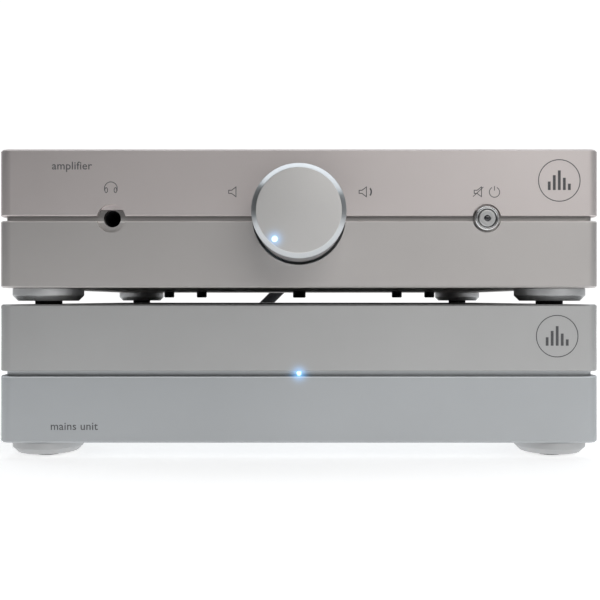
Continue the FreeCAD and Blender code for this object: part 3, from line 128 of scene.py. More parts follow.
class Graph:
    """A shader's node tree."""

    def __init__(self, tree):
        self.tree = tree

    def feed(self, slot, value):
        """Gives an input a value, or links it to a socket or to a node's first output."""
        if isinstance(value, bpy.types.Node):
            value = value.outputs[0]
        if isinstance(value, bpy.types.NodeSocket):
            self.tree.links.new(value, slot)
        else:
            slot.default_value = value

    def put(self, node, *values, **settings):
        """Feeds a node's inputs, by name or in order, and changes its settings by name."""
        for key, value in settings.items():
            label = key.replace("_", " ")
            if label in node.inputs:
                self.feed(node.inputs[label], value)
            else:
                setattr(node, key, value)
        for slot, value in zip(node.inputs, values):
            self.feed(slot, value)
        return node

    def add(self, kind, *values, **settings):
        """A new node, with its inputs and settings."""
        return self.put(self.tree.nodes.new(kind), *values, **settings)

    def maths(self, operation, *values):
        """A Math node on sockets or numbers."""
        return self.add("ShaderNodeMath", *values, operation=operation)

    def axes(self, place):
        """The x, y and z of a place."""
        return self.add("ShaderNodeSeparateXYZ", place).outputs


class Finish(Graph):
    """A material: one Principled shader, with textures laid out in the object's own space."""

    def __init__(self, colour, roughness, **inputs):
        self.material = bpy.data.materials.new("finish")
        self.material.use_nodes = True
        super().__init__(self.material.node_tree)
        self.colour = colour
        self.set(Base_Color=(*colour, 1), Roughness=roughness, **inputs)
        self.place = self.add("ShaderNodeTexCoord").outputs["Object"]

    def set(self, **inputs):
        """Feeds the shader's own inputs."""
        self.put(self.tree.nodes["Principled BSDF"], **inputs)

    def stretched(self, x, y, z):
        """The place, scaled along each axis."""
        return self.add("ShaderNodeMapping", Scale=(x, y, z), Vector=self.place)

    def noise(self, size, detail=2, place=None):
        """Noise whose blotches are about that many millimetres across."""
        scale = 1 / (size * MM)
        place = place or self.place
        return self.add("ShaderNodeTexNoise", Scale=scale, Detail=detail, Vector=place)

    def cells(self, size, distance="EUCLIDEAN"):
        """Voronoi cells about that many millimetres across."""
        kind = "ShaderNodeTexVoronoi"
        return self.add(kind, Scale=1 / (size * MM), Vector=self.place, distance=distance)

    def distance_from(self, centre, axis):
        """How far a point is from a line along x, y or z through the centre, in metres."""
        keep = Vector([0 if name == axis else 1 for name in "xyz"])
        back = [-a * b for a, b in zip(centre, keep)]
        flat = self.add("ShaderNodeMapping", Location=back, Scale=keep, Vector=self.place)
        return self.add("ShaderNodeVectorMath", flat, operation="LENGTH").outputs["Value"]

    def ramp(self, source, *stops):
        """A colour ramp: each stop is a position and a colour."""
        node = self.add("ShaderNodeValToRGB", source)
        ramp = node.color_ramp
        while len(ramp.elements) < len(stops):
            ramp.elements.new(1)
        for element, (position, colour) in zip(ramp.elements, stops):
            element.position = position
            element.color = (*colour, 1)
        return node

    def tint(self, source, dark, light, low=0.3, high=0.7):
        """Colours the surface from dark to light, between two levels of a texture."""
        self.set(Base_Color=self.ramp(source, (low, dark), (high, light)))

    def vary(self, source, darker, lighter):
        """Colours the surface between two shares of its own colour."""
        self.tint(source, shaded(self.colour, darker), shaded(self.colour, lighter))

    def gloss(self, source, low, high):
        """Varies the roughness between two values."""
        self.set(Roughness=self.add("ShaderNodeMapRange", To_Min=low, To_Max=high, Value=source))

    def relief(self, source, depth):
        """Bump of that many millimetres."""
        bump = self.add("ShaderNodeBump", Strength=1, Distance=depth * MM, Height=source)
        self.set(Normal=bump)

    def glow(self, source, colour, strength):
        """Light given off where the source is bright."""
        shine = self.maths("MULTIPLY", source, strength)
        self.set(Emission_Color=(*colour, 1), Emission_Strength=shine)

    def halo(self, centre, reach, strength):
        """Paints the glow of a small forward light onto the metal round it, as emission fading with
        distance.
        """
        share = self.maths("DIVIDE", self.distance_from(centre, "y"), reach * MM)
        squared = self.maths("MULTIPLY", share, share)
        self.glow(self.maths("POWER", math.exp(-1), squared), HALO_BLUE, strength)


def shaded(colour, amount):
    """A colour made lighter or darker."""
    return tuple(min(1, channel * amount) for channel in colour)


def grey(level):
    """A grey colour."""
    return (level,) * 3


LIGHT_BLUE = (0.5, 0.85, 1)
HALO_BLUE = (0.15, 0.5, 1)
# The groove between a cover and its tray, with painted shade and painted highlights: how far
# it starts below the seam, its height in millimetres, and how bright the painted rim highlight is.
GROOVE_BELOW = 1.6
GROOVE_HEIGHT = 4.0
PAINTED_RIM_HIGHLIGHT = 1.45


def painted_groove_shade(made, seam, foot, top):
    """Painted light and shade by height in millimetres: the rim's highlight, then the lip's foot
    and top.
    """
    above = made.maths("SUBTRACT", made.axes(made.place)["Z"], seam - GROOVE_BELOW * MM)
    rise = made.maths("MULTIPLY", above, 1 / (GROOVE_HEIGHT * MM))
    heights = ((0.12, 1), (0.16, PAINTED_RIM_HIGHLIGHT), (0.68, PAINTED_RIM_HIGHLIGHT), (0.72, foot), (2.3, top))
    return made.ramp(rise, *((height / GROOVE_HEIGHT, grey(share)) for height, share in heights))


def blasted(colour, light=None, groove=None):
    """Bead-blasted, clear anodised aluminium: fine grain, faint clouding, satin shine.

    A groove is the seam's height and the painted shade on the lip behind it, as the share of light
    it keeps at its foot and at its top; a share above one is a painted highlight.
    """
    made = Finish(colour, 0.5, Metallic=1)
    clouding_and_painted_shade = made.ramp(
        made.noise(55, 3), (0.3, shaded(colour, 0.975)), (0.7, shaded(colour, 1.025))
    )
    # Painted shade in the groove and a painted highlight on the tray's rim are multiplied in.
    if groove:
        mix = made.add("ShaderNodeMix", data_type="RGBA", blend_type="MULTIPLY", Factor=1)
        made.feed(mix.inputs[6], clouding_and_painted_shade)
        made.feed(mix.inputs[7], painted_groove_shade(made, *groove))
        clouding_and_painted_shade = mix.outputs[2]
    made.set(Base_Color=clouding_and_painted_shade)
    grain = made.noise(0.35)
    made.gloss(grain, 0.46, 0.56)
    made.relief(grain, 0.006)
    if light:
        made.halo(*light, 0.7)
    return made


def turned(colour, centre, low, high, light=None):
    """Lathe-turned aluminium with very fine rings round its axis, which runs along y."""
    made = Finish(colour, low, Metallic=1)
    pitch = 0.16 * MM
    turns = made.maths("MULTIPLY", made.distance_from(centre, "y"), 2 * math.pi / pitch)
    made.gloss(made.noise(0.9, 3), low, high)
    made.vary(made.noise(30), 0.98, 1.02)
    made.relief(made.maths("SINE", turns), 0.0007)
    if light:
        made.halo(*light, 0.6)
    return made


def brushed(colour):
    """Aluminium brushed along x."""
    made = Finish(colour, 0.4, Metallic=1)
    lines = made.noise(0.25, 3, made.stretched(0.02, 1, 1))
    made.gloss(lines, 0.34, 0.52)
    made.vary(lines, 0.93, 1.05)
    made.relief(lines, 0.004)
    return made


def plated(colour, roughness):
    """Plated steel or brass with faint handling marks."""
    made = Finish(colour, roughness, Metallic=1)
    marks = made.noise(1.6, 4)
    made.gloss(marks, roughness * 0.8, roughness * 1.5)
    made.vary(made.noise(6), 0.94, 1.04)
    made.relief(marks, 0.003)
    return made


def moulded(colour, roughness=0.48, grain=0.012):
    """Injection-moulded plastic with a fine spark-eroded grain."""
    made = Finish(colour, roughness, Specular_IOR_Level=0.5)
    made.gloss(made.noise(3, 3), roughness * 0.9, roughness * 1.15)
    made.vary(made.noise(14), 0.9, 1.12)
    made.relief(made.cells(0.32), grain)
    return made


def black_oxide():
    """Blackened steel, faintly blue, lighter where it has been handled."""
    made = Finish((0.022, 0.023, 0.026), 0.42, Metallic=0.7)
    wear = made.noise(1.1, 4)
    made.tint(wear, (0.014, 0.015, 0.018), (0.04, 0.041, 0.045), 0.35, 0.75)
    made.gloss(wear, 0.34, 0.55)
    made.relief(wear, 0.006)
    return made


def rubber():
    """Dull black rubber with dust-grey clouding."""
    made = Finish(grey(0.022), 0.82, Specular_IOR_Level=0.3)
    made.tint(made.noise(4, 4), grey(0.016), (0.035, 0.034, 0.033), 0.35, 0.75)
    made.relief(made.noise(0.4, 3), 0.02)
    return made


def woven_sleeve():
    """The lead's nylon yarns: fine fibres, with a soft sheen."""
    made = Finish((0.01, 0.01, 0.012), 0.7, Specular_IOR_Level=0.25, Sheen_Weight=0.05)
    fibres = made.noise(0.12, 2, made.stretched(1, 1, 0.5))
    made.tint(fibres, (0.005, 0.005, 0.006), (0.02, 0.02, 0.024), 0.3, 0.75)
    made.relief(fibres, 0.03)
    return made


def circuit_lacquer():
    """Green solder mask over copper tracks, with tinned pads."""
    mask = (0.012, 0.085, 0.04)
    track = (0.03, 0.15, 0.07)
    pad = (0.6, 0.6, 0.56)
    made = Finish((0.012, 0.09, 0.04), 0.3, Coat_Weight=0.4, Coat_Roughness=0.15)
    tracks = made.cells(5.5, "MANHATTAN")
    stops = (0, pad), (0.07, pad), (0.08, (0.01, 0.07, 0.03)), (0.45, mask), (0.47, track)
    made.set(Base_Color=made.ramp(tracks, *stops, (0.6, track), (0.62, mask)))
    made.relief(tracks, 0.02)
    return made


def wound_tape():
    """Polyester tape wound over a transformer's copper: overlapping bands, glossy."""
    made = Finish((0.5, 0.32, 0.06), 0.3, Coat_Weight=0.5, Coat_Roughness=0.2)
    made.tint(made.noise(9, 3), (0.38, 0.22, 0.03), (0.6, 0.4, 0.08))
    made.gloss(made.noise(2.5, 3), 0.22, 0.42)
    made.relief(made.noise(0.8, 3), 0.03)
    return made


def light_guide(strength):
    """A clear light guide's end, glowing blue-white, unevenly tinted like cut acrylic."""
    made = Finish((0.75, 0.9, 1), 0.15)
    made.set(Emission_Color=(*LIGHT_BLUE, 1), Emission_Strength=strength)
    made.tint(made.noise(0.7), (0.65, 0.85, 1), (0.85, 0.95, 1))
    made.relief(made.noise(0.5), 0.01)
    return made


def smoked_lens():
    """A dark, glossy lens."""
    made = Finish((0.015, 0.016, 0.02), 0.12, Coat_Weight=1, Coat_Roughness=0.05)
    made.tint(made.noise(0.8), (0.01, 0.011, 0.014), (0.03, 0.031, 0.036))
    made.relief(made.noise(0.6), 0.004)
    return made


def clear_glass():
    """Thin clear glass, slightly grey."""
    made = Finish((0.85, 0.9, 0.9), 0.05, Transmission_Weight=0.9, IOR=1.47)
    made.relief(made.noise(1.2), 0.004)
    made.gloss(made.noise(1.5), 0.03, 0.1)
    return made


def printed_ink(colour):
    """Pad-printed ink, matt and a little uneven."""
    made = Finish(colour, 0.7)
    made.vary(made.noise(0.5, 3), 0.85, 1.3)
    made.relief(made.noise(0.2), 0.004)
    return made


KNOB_AXIS = Vector((0, FRONT_Y, AMP_SEAM))
PSU_LIGHT = Vector((0, FRONT_Y, PSU_SEAM))
KNOB_LIGHT = centred(*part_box("knob_light_guide"), y=FRONT_Y)
BUTTON_AXIS = centred(*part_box("mute_bezel"), y=FRONT_Y)
# Painted glow on the metal round each lamp: its middle and its reach in millimetres.
PSU_HALO = (PSU_LIGHT, 2.4)
KNOB_HALO = (KNOB_LIGHT, 2.2)

# Each finish: the function that makes it, its colour or strength, and what else it needs.
FINISH_TABLE = {
    # The covers and trays are one blasted aluminium; their different colours are painted light and
    # shade.
    "amp_cover": (blasted, (0.695, 0.645, 0.635)),
    # A tray's last entry paints shade and a highlight into its groove: seam, lip foot, lip top.
    "amp_tray": (blasted, (0.585, 0.562, 0.55), None, (AMP_SEAM, 0.9, 0.42)),
    "psu_cover": (blasted, (0.535, 0.535, 0.533), PSU_HALO),
    "psu_tray": (blasted, (0.52, 0.538, 0.552), PSU_HALO, (PSU_SEAM, 0.45, 1.2)),
    "knob_face": (turned, (0.72, 0.71, 0.7), KNOB_AXIS, 0.44, 0.54, KNOB_HALO),
    # The knob's bevel is darker and bluer than its face as painted reflection, its side darker as
    # painted shade.
    "knob_bevel_painted_reflection": (turned, (0.58, 0.6, 0.615), KNOB_AXIS, 0.26, 0.32),
    "knob_side_painted_shade": (turned, (0.38, 0.385, 0.4), KNOB_AXIS, 0.3, 0.4),
    "button": (turned, grey(0.62), BUTTON_AXIS, 0.28, 0.4),
    "bezel": (turned, grey(0.8), BUTTON_AXIS, 0.16, 0.24),
    "foot": (blasted, (0.52, 0.525, 0.53)),
    "panel": (brushed, (0.56, 0.57, 0.58)),
    "sink": (brushed, (0.5, 0.51, 0.53)),
    "black_screw": (black_oxide,),
    "steel": (plated, (0.62, 0.62, 0.63), 0.24),
    "nickel": (plated, (0.6, 0.57, 0.52), 0.2),
    "gold": (plated, (0.86, 0.6, 0.24), 0.18),
    "rubber": (rubber,),
    "black": (moulded, (0.018, 0.018, 0.02)),
    "black_gloss": (moulded, (0.02, 0.02, 0.022), 0.28, 0.004),
    "sleeve_blue": (moulded, (0.02, 0.035, 0.09), 0.3, 0.003),
    "relay_blue": (moulded, (0.03, 0.09, 0.24), 0.4, 0.006),
    "white": (moulded, (0.78, 0.77, 0.73), 0.35, 0.004),
    "red": (moulded, (0.5, 0.02, 0.018), 0.35, 0.004),
    "board": (circuit_lacquer,),
    "tape": (wound_tape,),
    "knob_light": (light_guide, 1.3),
    "power_light": (light_guide, 1.2),
    "lens": (smoked_lens,),
    "glass": (clear_glass,),
    "ink": (printed_ink, (0.095, 0.095, 0.1)),
    "white_ink": (printed_ink, (0.7, 0.7, 0.68)),
    "braid": (woven_sleeve,),
}
FINISHES = {name: make(*details).material for name, (make, *details) in FINISH_TABLE.items()}
for name, material in FINISHES.items():
    material.name = name


# ---- Mesh tools ----

SHARP_ANGLE = math.radians(32)


def place_object(name, data):
    """An object of that data, linked into the scene."""
    made = bpy.data.objects.new(name, data)
    bpy.context.scene.collection.objects.link(made)
    return made


def curve_mesh(curve):
    """The mesh of a curve or of a text."""
    holder = place_object("holder", curve)
    bpy.context.view_layer.update()
    data = bpy.data.meshes.new_from_object(holder)
    bpy.data.objects.remove(holder)
    return data


def finish_mesh(name, mesh):
    """A linked object from a bmesh, smooth except at sharp edges."""
    bmesh.ops.recalc_face_normals(mesh, faces=mesh.faces)
    data = bpy.data.meshes.new(name)
    mesh.to_mesh(data)
    mesh.free()
    for polygon in data.polygons:
        polygon.use_smooth = True
    data.set_sharp_from_angle(angle=SHARP_ANGLE)
    return place_object(name, data)


def show(name, mesh, body, slot, finishes, *stands_for):
    """Finishes a piece: its materials, its body and the CAD nodes it stands for; its slot is not
    used.
    """
    made = finish_mesh(name, mesh) if isinstance(mesh, bmesh.types.BMesh) else mesh
    made.name = name
    indices = [polygon.material_index for polygon in made.data.polygons]
    made.data.materials.clear()
    for finish in finishes:
        made.data.materials.append(FINISHES[finish])
    made.data.polygons.foreach_set("material_index", indices)
    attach(made, body)
    if stands_for:
        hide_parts(*stands_for)
    return made


def soften(corners, radius, steps=3):
    """A turned profile with its corners rounded a little, except where it meets the axis."""
    open_ended = corners[0][0] == 0 and corners[-1][0] == 0
    last = len(corners) - 1
    out = []
    for index, corner in enumerate(corners):
        if open_ended and index in (0, last):
            out.append(corner)
            continue
        near = (corners[index - 1], corner, corners[(index + 1) % len(corners)])
        before, here, after = (Vector(place[:2]) for place in near)
        reach = min(radius, 0.4 * (here - before).length, 0.4 * (after - here).length)
        start = here + (before - here).normalized() * reach
        end = here + (after - here).normalized() * reach
        for step in range(steps + 1):
            share = step / steps
            point = start.lerp(here, share).lerp(here.lerp(end, share), share)
            out.append((point.x, point.y, *corner[2:]))
    return out


def hexagon(angle):
    """The outline of a hexagon whose corners are one unit from its middle."""
    return math.cos(math.pi / 6) / math.cos(angle % (math.pi / 3) - math.pi / 6)


def ridges(count, depth):
    """An outline with that many ridges; depth is a share of the radius."""
    return lambda angle: 1 - depth * (0.5 - 0.5 * math.cos(count * angle))


def bridge(mesh, low, high, index=0):
    """Joins two rings of corners, or a ring and a point, with faces of one material."""
    for spoke in range(max(len(low), len(high))):
        places = ((low, spoke), (low, spoke + 1), (high, spoke + 1), (high, spoke))
        corners = dict.fromkeys(ring[at % len(ring)] for ring, at in places)
        mesh.faces.new(list(corners)).material_index = index


def turn(mesh, profile, place, axis, segments, paint=None):
    """Adds a turned piece to a mesh.

    Each corner of the profile is (radius, distance along the axis) in millimetres, and may carry an
    outline, a function of the angle that scales its radius. A profile that doesn't start and end on
    the axis is a ring. paint gives a material index to stretches of the profile, by their number.
    """
    side = axis.orthogonal().normalized()
    up = axis.cross(side)
    rings = []
    for radius, along, *outline in profile:
        centre = place + axis * along * MM
        if radius == 0:
            rings.append([mesh.verts.new(centre)])
            continue
        ring = []
        for spoke in range(segments):
            angle = 2 * math.pi * spoke / segments
            reach = radius * MM * (outline[0](angle) if outline else 1)
            outward = side * math.cos(angle) + up * math.sin(angle)
            ring.append(mesh.verts.new(centre + outward * reach))
        rings.append(ring)
    pairs = list(zip(rings, rings[1:]))
    if profile[0][0] > 0 or profile[-1][0] > 0:
        pairs.append((rings[-1], rings[0]))
    for number, (low, high) in enumerate(pairs):
        bridge(mesh, low, high, paint(number) if paint else 0)


def lathe(name, body, slot, finish, node, profile, place, axis, segments, softness=0):
    """A piece with one turned profile, which stands for one CAD node."""
    mesh = bmesh.new()
    turn(mesh, soften(profile, softness) if softness else profile, place, axis, segments)
    return show(name, mesh, body, slot, [finish], node)


def lathe_each(name, body, slot, finishes, node, shape, axis, segments, paint=None):
    """Turned pieces for all of a CAD node's solids, from their bottoms up or their tops down.

    shape gives the profile for a solid's radius and height in millimetres.
    """
    mesh = bmesh.new()
    for low, high in solids_of(node):
        size = span(low, high)
        place = centred(low, high, z=low.z if axis == UP else high.z)
        turn(mesh, shape(size.x / 2, size.z), place, axis, segments, paint)
    show(name, mesh, body, slot, finishes, node)


def block(mesh, low, high, bevel, steps=2, index=0):
    """Adds a box between two corners, its edges rounded by that many millimetres."""
    made = bmesh.ops.create_cube(mesh, size=1)
    size = high - low
    for vertex in made["verts"]:
        vertex.co = low + Vector((vertex.co[axis] + 0.5) * size[axis] for axis in range(3))
    edges = list({edge for vertex in made["verts"] for edge in vertex.link_edges})
    for face in {face for vertex in made["verts"] for face in vertex.link_faces}:
        face.material_index = index
    rounding = {"offset": bevel * MM, "segments": steps, "profile": 0.5, "material": -1}
    bmesh.ops.bevel(mesh, geom=edges, affect="EDGES", **rounding)


def drill(made, hole_mesh):
    """Cuts another mesh out of the object."""
    tool = finish_mesh("tool", hole_mesh)
    rule = made.modifiers.new("hole", "BOOLEAN")
    rule.object = tool
    rule.operation = "DIFFERENCE"
    rule.solver = "EXACT"
    bpy.context.view_layer.update()
    cut = made.evaluated_get(bpy.context.evaluated_depsgraph_get())
    data = bpy.data.meshes.new_from_object(cut)
    made.modifiers.clear()
    made.data = data
    data.set_sharp_from_angle(angle=SHARP_ANGLE)
    bpy.data.objects.remove(tool)


def dress(node, finish, bevel):
    """Gives a CAD node its finish, and rounds its edges by that many millimetres."""
    made = nodes[node]
    made.data.materials.clear()
    made.data.materials.append(FINISHES[finish])
    if bevel:
        weld = made.modifiers.new("weld", "WELD")
        weld.merge_threshold = 1e-6
        rule = made.modifiers.new("bevel", "BEVEL")
        rule.width = bevel * MM
        rule.segments = 2
        rule.limit_method = "ANGLE"
        rule.angle_limit = math.radians(35)
        rule.harden_normals = True


# ---- Camera and studio ----

FOCAL_LENGTH = 51.15
SENSOR_WIDTH = 36
# The camera's place in millimetres, from the middle of the gap at the cases' fronts.
CAMERA_OFFSET = Vector((0.4, -322.2, -1.5))
# The room's light on the object: its floor level, and what its right and its back add.
ROOM_LIGHT, ROOM_RIGHT, ROOM_BACK = 0.07, 0.12, 0.5
FLOOR_RADIUS = 6000
# The floor's painted glow: its strength, and its share at the edge of the pool.
FLOOR_GLOW = 0.58
FLOOR_EDGE = 0.2
# Place and size in metres, power in watts, colour.
SOFTBOXES = {
    "overhead": ((0.3, 0.05, 1.1), (3, 0.5), 7.2, (0.94, 0.97, 1)),
    "key": ((1.25, -1.35, 0.75), (1.1, 1.1), 2, (1, 0.98, 0.95)),
    "front": ((0.62, -1.85, 0.98), (1.4, 0.7), 7.7, (1, 0.985, 0.97)),
    "rear": ((0.2, 1.3, 0.9), (1.4, 0.9), 4, (1, 1, 1)),
}


def make_camera():
    """A level camera in front, almost as high as the gap between the cases."""
    data = bpy.data.cameras.new("camera")
    data.lens = FOCAL_LENGTH
    data.sensor_width = SENSOR_WIDTH
    camera = place_object("camera", data)
    gap_middle = (AMP_BASE + PSU_BASE + CASE_HEIGHT) / 2
    camera.location = Vector((0, FRONT_Y, gap_middle)) + CAMERA_OFFSET * MM
    camera.rotation_euler = (math.pi / 2, 0, 0)
    bpy.context.scene.camera = camera


def softbox(name, place, size, power, colour):
    """A rectangular area light: overhead it points straight down, elsewhere at the object."""
    data = bpy.data.lights.new(name, "AREA")
    data.shape = "RECTANGLE"
    data.size, data.size_y = size
    data.energy = power
    data.color = colour
    made = place_object(name, data)
    made.location = place
    aim = Vector((0, 0, AMP_BASE)) - Vector(place)
    if name != "overhead":
        made.rotation_euler = aim.to_track_quat("-Z", "Y").to_euler()


def make_world():
    """The room: dim on the left and brightest behind, and white where the camera sees it ahead."""
    world = bpy.data.worlds.new("studio")
    bpy.context.scene.world = world
    world.use_nodes = True
    room = Graph(world.node_tree)
    way = room.axes(room.add("ShaderNodeTexCoord").outputs["Generated"])
    total = ROOM_LIGHT
    for axis, share in (("X", ROOM_RIGHT), ("Y", ROOM_BACK)):
        total = room.maths("MULTIPLY_ADD", room.maths("MAXIMUM", way[axis], 0), share, total)
    lighting = room.put(room.tree.nodes["Background"], (0.95, 0.98, 1, 1), total)
    # Seen from behind, the surround is the dimmer end of the studio.
    ahead = room.add("ShaderNodeMapRange", From_Min=-0.5, From_Max=0.3, To_Max=1.05, Value=way["Y"])
    rising = room.maths("MULTIPLY_ADD", way["Z"], 1.2, 0.3)
    seen = room.add("ShaderNodeBackground", (1, 1, 1, 1), room.maths("MAXIMUM", ahead, rising))
    ray = room.add("ShaderNodeLightPath").outputs["Is Camera Ray"]
    mix = room.add("ShaderNodeMixShader", ray, lighting, seen)
    room.put(room.tree.nodes["World Output"], mix)


def make_floor():
    """A white floor whose glow is painted light: a pool round the object, and brighter far behind
    it.
    """
    mesh = bmesh.new()
    disc = [(0, 0), (900, 0), (FLOOR_RADIUS, 0), (FLOOR_RADIUS, 20), (0, 20)]
    turn(mesh, disc, Vector(), DOWN, 64)
    floor = finish_mesh("floor", mesh)
    paint = Finish(grey(0.9), 0.9)
    paint.material.name = "floor_paint"
    painted_pool_middle = Vector((0, 0.25, 0))
    near = paint.distance_from(painted_pool_middle, "z")
    painted_pool = paint.ramp(near, (0.52, grey(1)), (0.8, grey(FLOOR_EDGE)))
    depth = paint.axes(paint.place)["Y"]
    behind = paint.ramp(depth, (0.35, grey(0)), (0.5, grey(1)), (1, grey(1.8)))
    # The emission paints the pool of light round the object and the bright floor far behind.
    paint.glow(paint.maths("MAXIMUM", painted_pool, behind), grey(1), FLOOR_GLOW)
    paint.tint(paint.noise(400), grey(0.88), grey(0.92))
    floor.data.materials.append(paint.material)


def make_studio():
    """The room, the floor, and soft boxes brightest from the right."""
    make_world()
    make_floor()
    for name, details in SOFTBOXES.items():
        softbox(name, *details)
    bpy.context.scene.view_settings.view_transform = "Standard"


# ---- Link lead ----

# The lead's route in millimetres, from the upper plug to the lower one: x to the right, y behind
# the back of the cases, z up.
CORD_ROUTE = [
    (8, 40.2, 91.3), (8, 61.5, 91.3), (1, 81.5, 83), (-14.5, 93.5, 68.5),
    (-32, 93, 51), (-46.3, 81.5, 37.5), (-54, 61.5, 32.55), (-54, 40, 32.55),
]
CORD_RADIUS = 4.0 * MM


def cord_line():
    """Points along the lead's smooth line."""
    curve = bpy.data.curves.new("cord_route", "CURVE")
    curve.dimensions = "3D"
    spline = curve.splines.new("NURBS")
    spline.points.add(len(CORD_ROUTE) - 1)
    for point, (x, y, z) in zip(spline.points, CORD_ROUTE):
        point.co = (x * MM, BACK_Y + y * MM, z * MM, 1)
    spline.order_u = 3
    spline.use_endpoint_u = True
    spline.resolution_u = 24
    return [vertex.co.copy() for vertex in curve_mesh(curve).vertices]


def line_length(points):
    """The length of a line through points."""
    return sum((b - a).length for a, b in zip(points, points[1:]))


def even_points(points, step):
    """The same line with points a fixed step apart."""
    total = line_length(points)
    count = round(total / step)
    spacing = total / count
    out = [points[0]]
    walked = 0.0
    for a, b in zip(points, points[1:]):
        length = (b - a).length
        while len(out) < count and walked + length >= spacing * len(out):
            out.append(a.lerp(b, (spacing * len(out) - walked) / length))
        walked += length
    return out + [points[-1]]


def frames_along(points):
    """Two steady cross directions at each point of a line."""
    ahead = [(b - a).normalized() for a, b in zip(points, points[1:])]
    ahead.append(ahead[-1])
    side = UP.cross(ahead[0]).normalized()
    out = []
    for direction in ahead:
        side = (side - direction * side.dot(direction)).normalized()
        out.append((side, direction.cross(side)))
    return out


def braided_cord():
    """The lead with its woven sleeve: yarns cross over and under each other round the tube."""
    step = 0.35 * MM
    points = even_points(cord_line(), step)
    around = 96
    yarns = 12
    pitch = 16.0 * MM
    depth = 0.3 * MM
    crossing = 2.5
    mesh = bmesh.new()
    rings = []
    for row, (point, (side, up)) in enumerate(zip(points, frames_along(points))):
        along = row * step / pitch
        ring = []
        for spoke in range(around):
            share = spoke / around
            right = math.sin(2 * math.pi * yarns * (share - along))
            left = math.sin(2 * math.pi * yarns * (share + along))
            over = 0.5 + 0.5 * math.tanh(crossing * right * left)
            height = over * abs(right) ** 0.5 + (1 - over) * abs(left) ** 0.5
            radius = CORD_RADIUS - depth + depth * height
            angle = 2 * math.pi * share
            offset = side * (radius * math.cos(angle)) + up * (radius * math.sin(angle))
            ring.append(mesh.verts.new(point + offset))
        rings.append(ring)
    for low, high in zip(rings, rings[1:]):
        bridge(mesh, low, high)
    mesh.faces.new(reversed(rings[0]))
    mesh.faces.new(rings[-1])
    cord = finish_mesh("link_lead", mesh)
    cord.data.materials.append(FINISHES["braid"])
    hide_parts("link_cord")
    plugs = [link_plug("upper", "amplifier"), link_plug("lower", "power_supply")]
    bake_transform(cord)


def link_plug(end, body):
    """A plug of the lead: nose, ribbed grip and a strain relief of shrinking rings."""
    node = f"link_plug_{end}"
    low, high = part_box(node)
    nose = (low.y - BACK_Y) / MM
    tip = (high.y - BACK_Y) / MM
    grip, grip_end = 8.2, 22.0
    profile = [(0, nose), (5, nose), (5.5, nose + 0.6), (5.5, 5.2), (7.6, 5.2), (grip, 6)]
    for groove in range(4):
        start = 8.2 + 2.5 * groove
        profile += [(grip, start), (7.4, start + 0.2), (7.4, start + 0.9), (grip, start + 1.1)]
    profile += [(grip, 20.6), (7.4, grip_end), (6.3, grip_end)]
    rings = 6
    relief_start = grip_end + 0.6
    spacing = (tip - relief_start) / rings
    for ring in range(rings):
        radius = 6.2 - 1.5 * ring / rings
        for inset, share in ((0.9, 0), (0.9, 0.25), (0, 0.35), (0.1, 0.95)):
            profile.append((radius - inset, relief_start + (ring + share) * spacing))
    profile += [(4.6, tip - 0.1), (4.2, tip), (0, tip)]
    place = centred(low, high, y=BACK_Y)
    name, slot = f"lead_plug_{end}", "black_plastic"
    return lathe(name, body, slot, "black", node, profile, place, BACKWARD, 96, 0.25)


# ---- Feet and screws ----


def foot_profile(radius, height):
    """A foot from its case down, with a seat for its pad and a hole for its case screw."""
    chamfer, bolt, seat = 2.1, 2.2, 5.3
    profile = [
        (bolt, 0), (radius - 0.3, 0), (radius, 0.3), (radius, height - chamfer),
        (radius - chamfer, height), (seat, height), (seat, height - 0.8), (bolt, height - 0.8),
    ]
    return soften(profile, 0.18)


def pad_profile(radius, height):
    """A rubber pad from its seat down, slightly dished."""
    dish = height - 0.25
    profile = [(0, 0), (radius, 0), (radius, height), (radius - 1.4, height)]
    return soften(profile + [(radius - 1.7, dish), (0, dish)], 0.35)


def foot_set(unit, body):
    """Four turned feet with their rubber pads."""
    name, node = f"{unit}_turned_feet", f"{unit}_feet"
    lathe_each(name, body, "foot_silver", ["foot"], node, foot_profile, DOWN, 128)
    name, node = f"{unit}_moulded_pads", f"{unit}_foot_pads"
    lathe_each(name, body, "pad_rubber", ["rubber"], node, pad_profile, DOWN, 72)


def cap_screws():
    """The black cap screws under the amplifier: knurled heads with key sockets."""
    node = "amp_heat_sink_screws"
    mesh = bmesh.new()
    knurl = ridges(36, 0.035)
    for low, high in solids_of(node):
        head = span(low, high).x / 2
        tall = (AMP_BASE - low.z) / MM
        shank = 1.5 if head < 3 else 2.0
        key = head * 0.5
        end = (AMP_BASE - high.z) / MM
        profile = [
            (0, end), (shank - 0.3, end), (shank, end + 0.4), (shank, 0),
            (head, 0, knurl), (head, tall - 0.5, knurl), (head - 0.35, tall),
            (key + 0.15, tall, hexagon), (key, tall - 0.2, hexagon), (key, tall * 0.5, hexagon),
            (0, tall * 0.45),
        ]
        turn(mesh, profile, centred(low, high, z=AMP_BASE), DOWN, 144)
    show("cap_screws", mesh, "amplifier", "black_screws", ["black_screw"], node)


def panel_screws(unit, body):
    """The button-head screws of a rear panel."""
    node = f"{unit}_rear_panel_screws"
    mesh = bmesh.new()
    for low, high in solids_of(node):
        end = (low.y - PANEL_Y) / MM
        profile = [
            (0, end), (1, end), (1.25, end + 0.3), (1.25, 0),
            (2.75, 0), (2.7, 0.5), (2.3, 1.1), (1.7, 1.5), (1.3, 1.6),
            (1.15, 1.5, hexagon), (1.15, 0.65, hexagon), (0, 0.5),
        ]
        turn(mesh, profile, centred(low, high, y=PANEL_Y), BACKWARD, 72)
    show(f"{unit}_panel_screws", mesh, body, "black_screws", ["black_screw"], node)


# ---- Controls ----


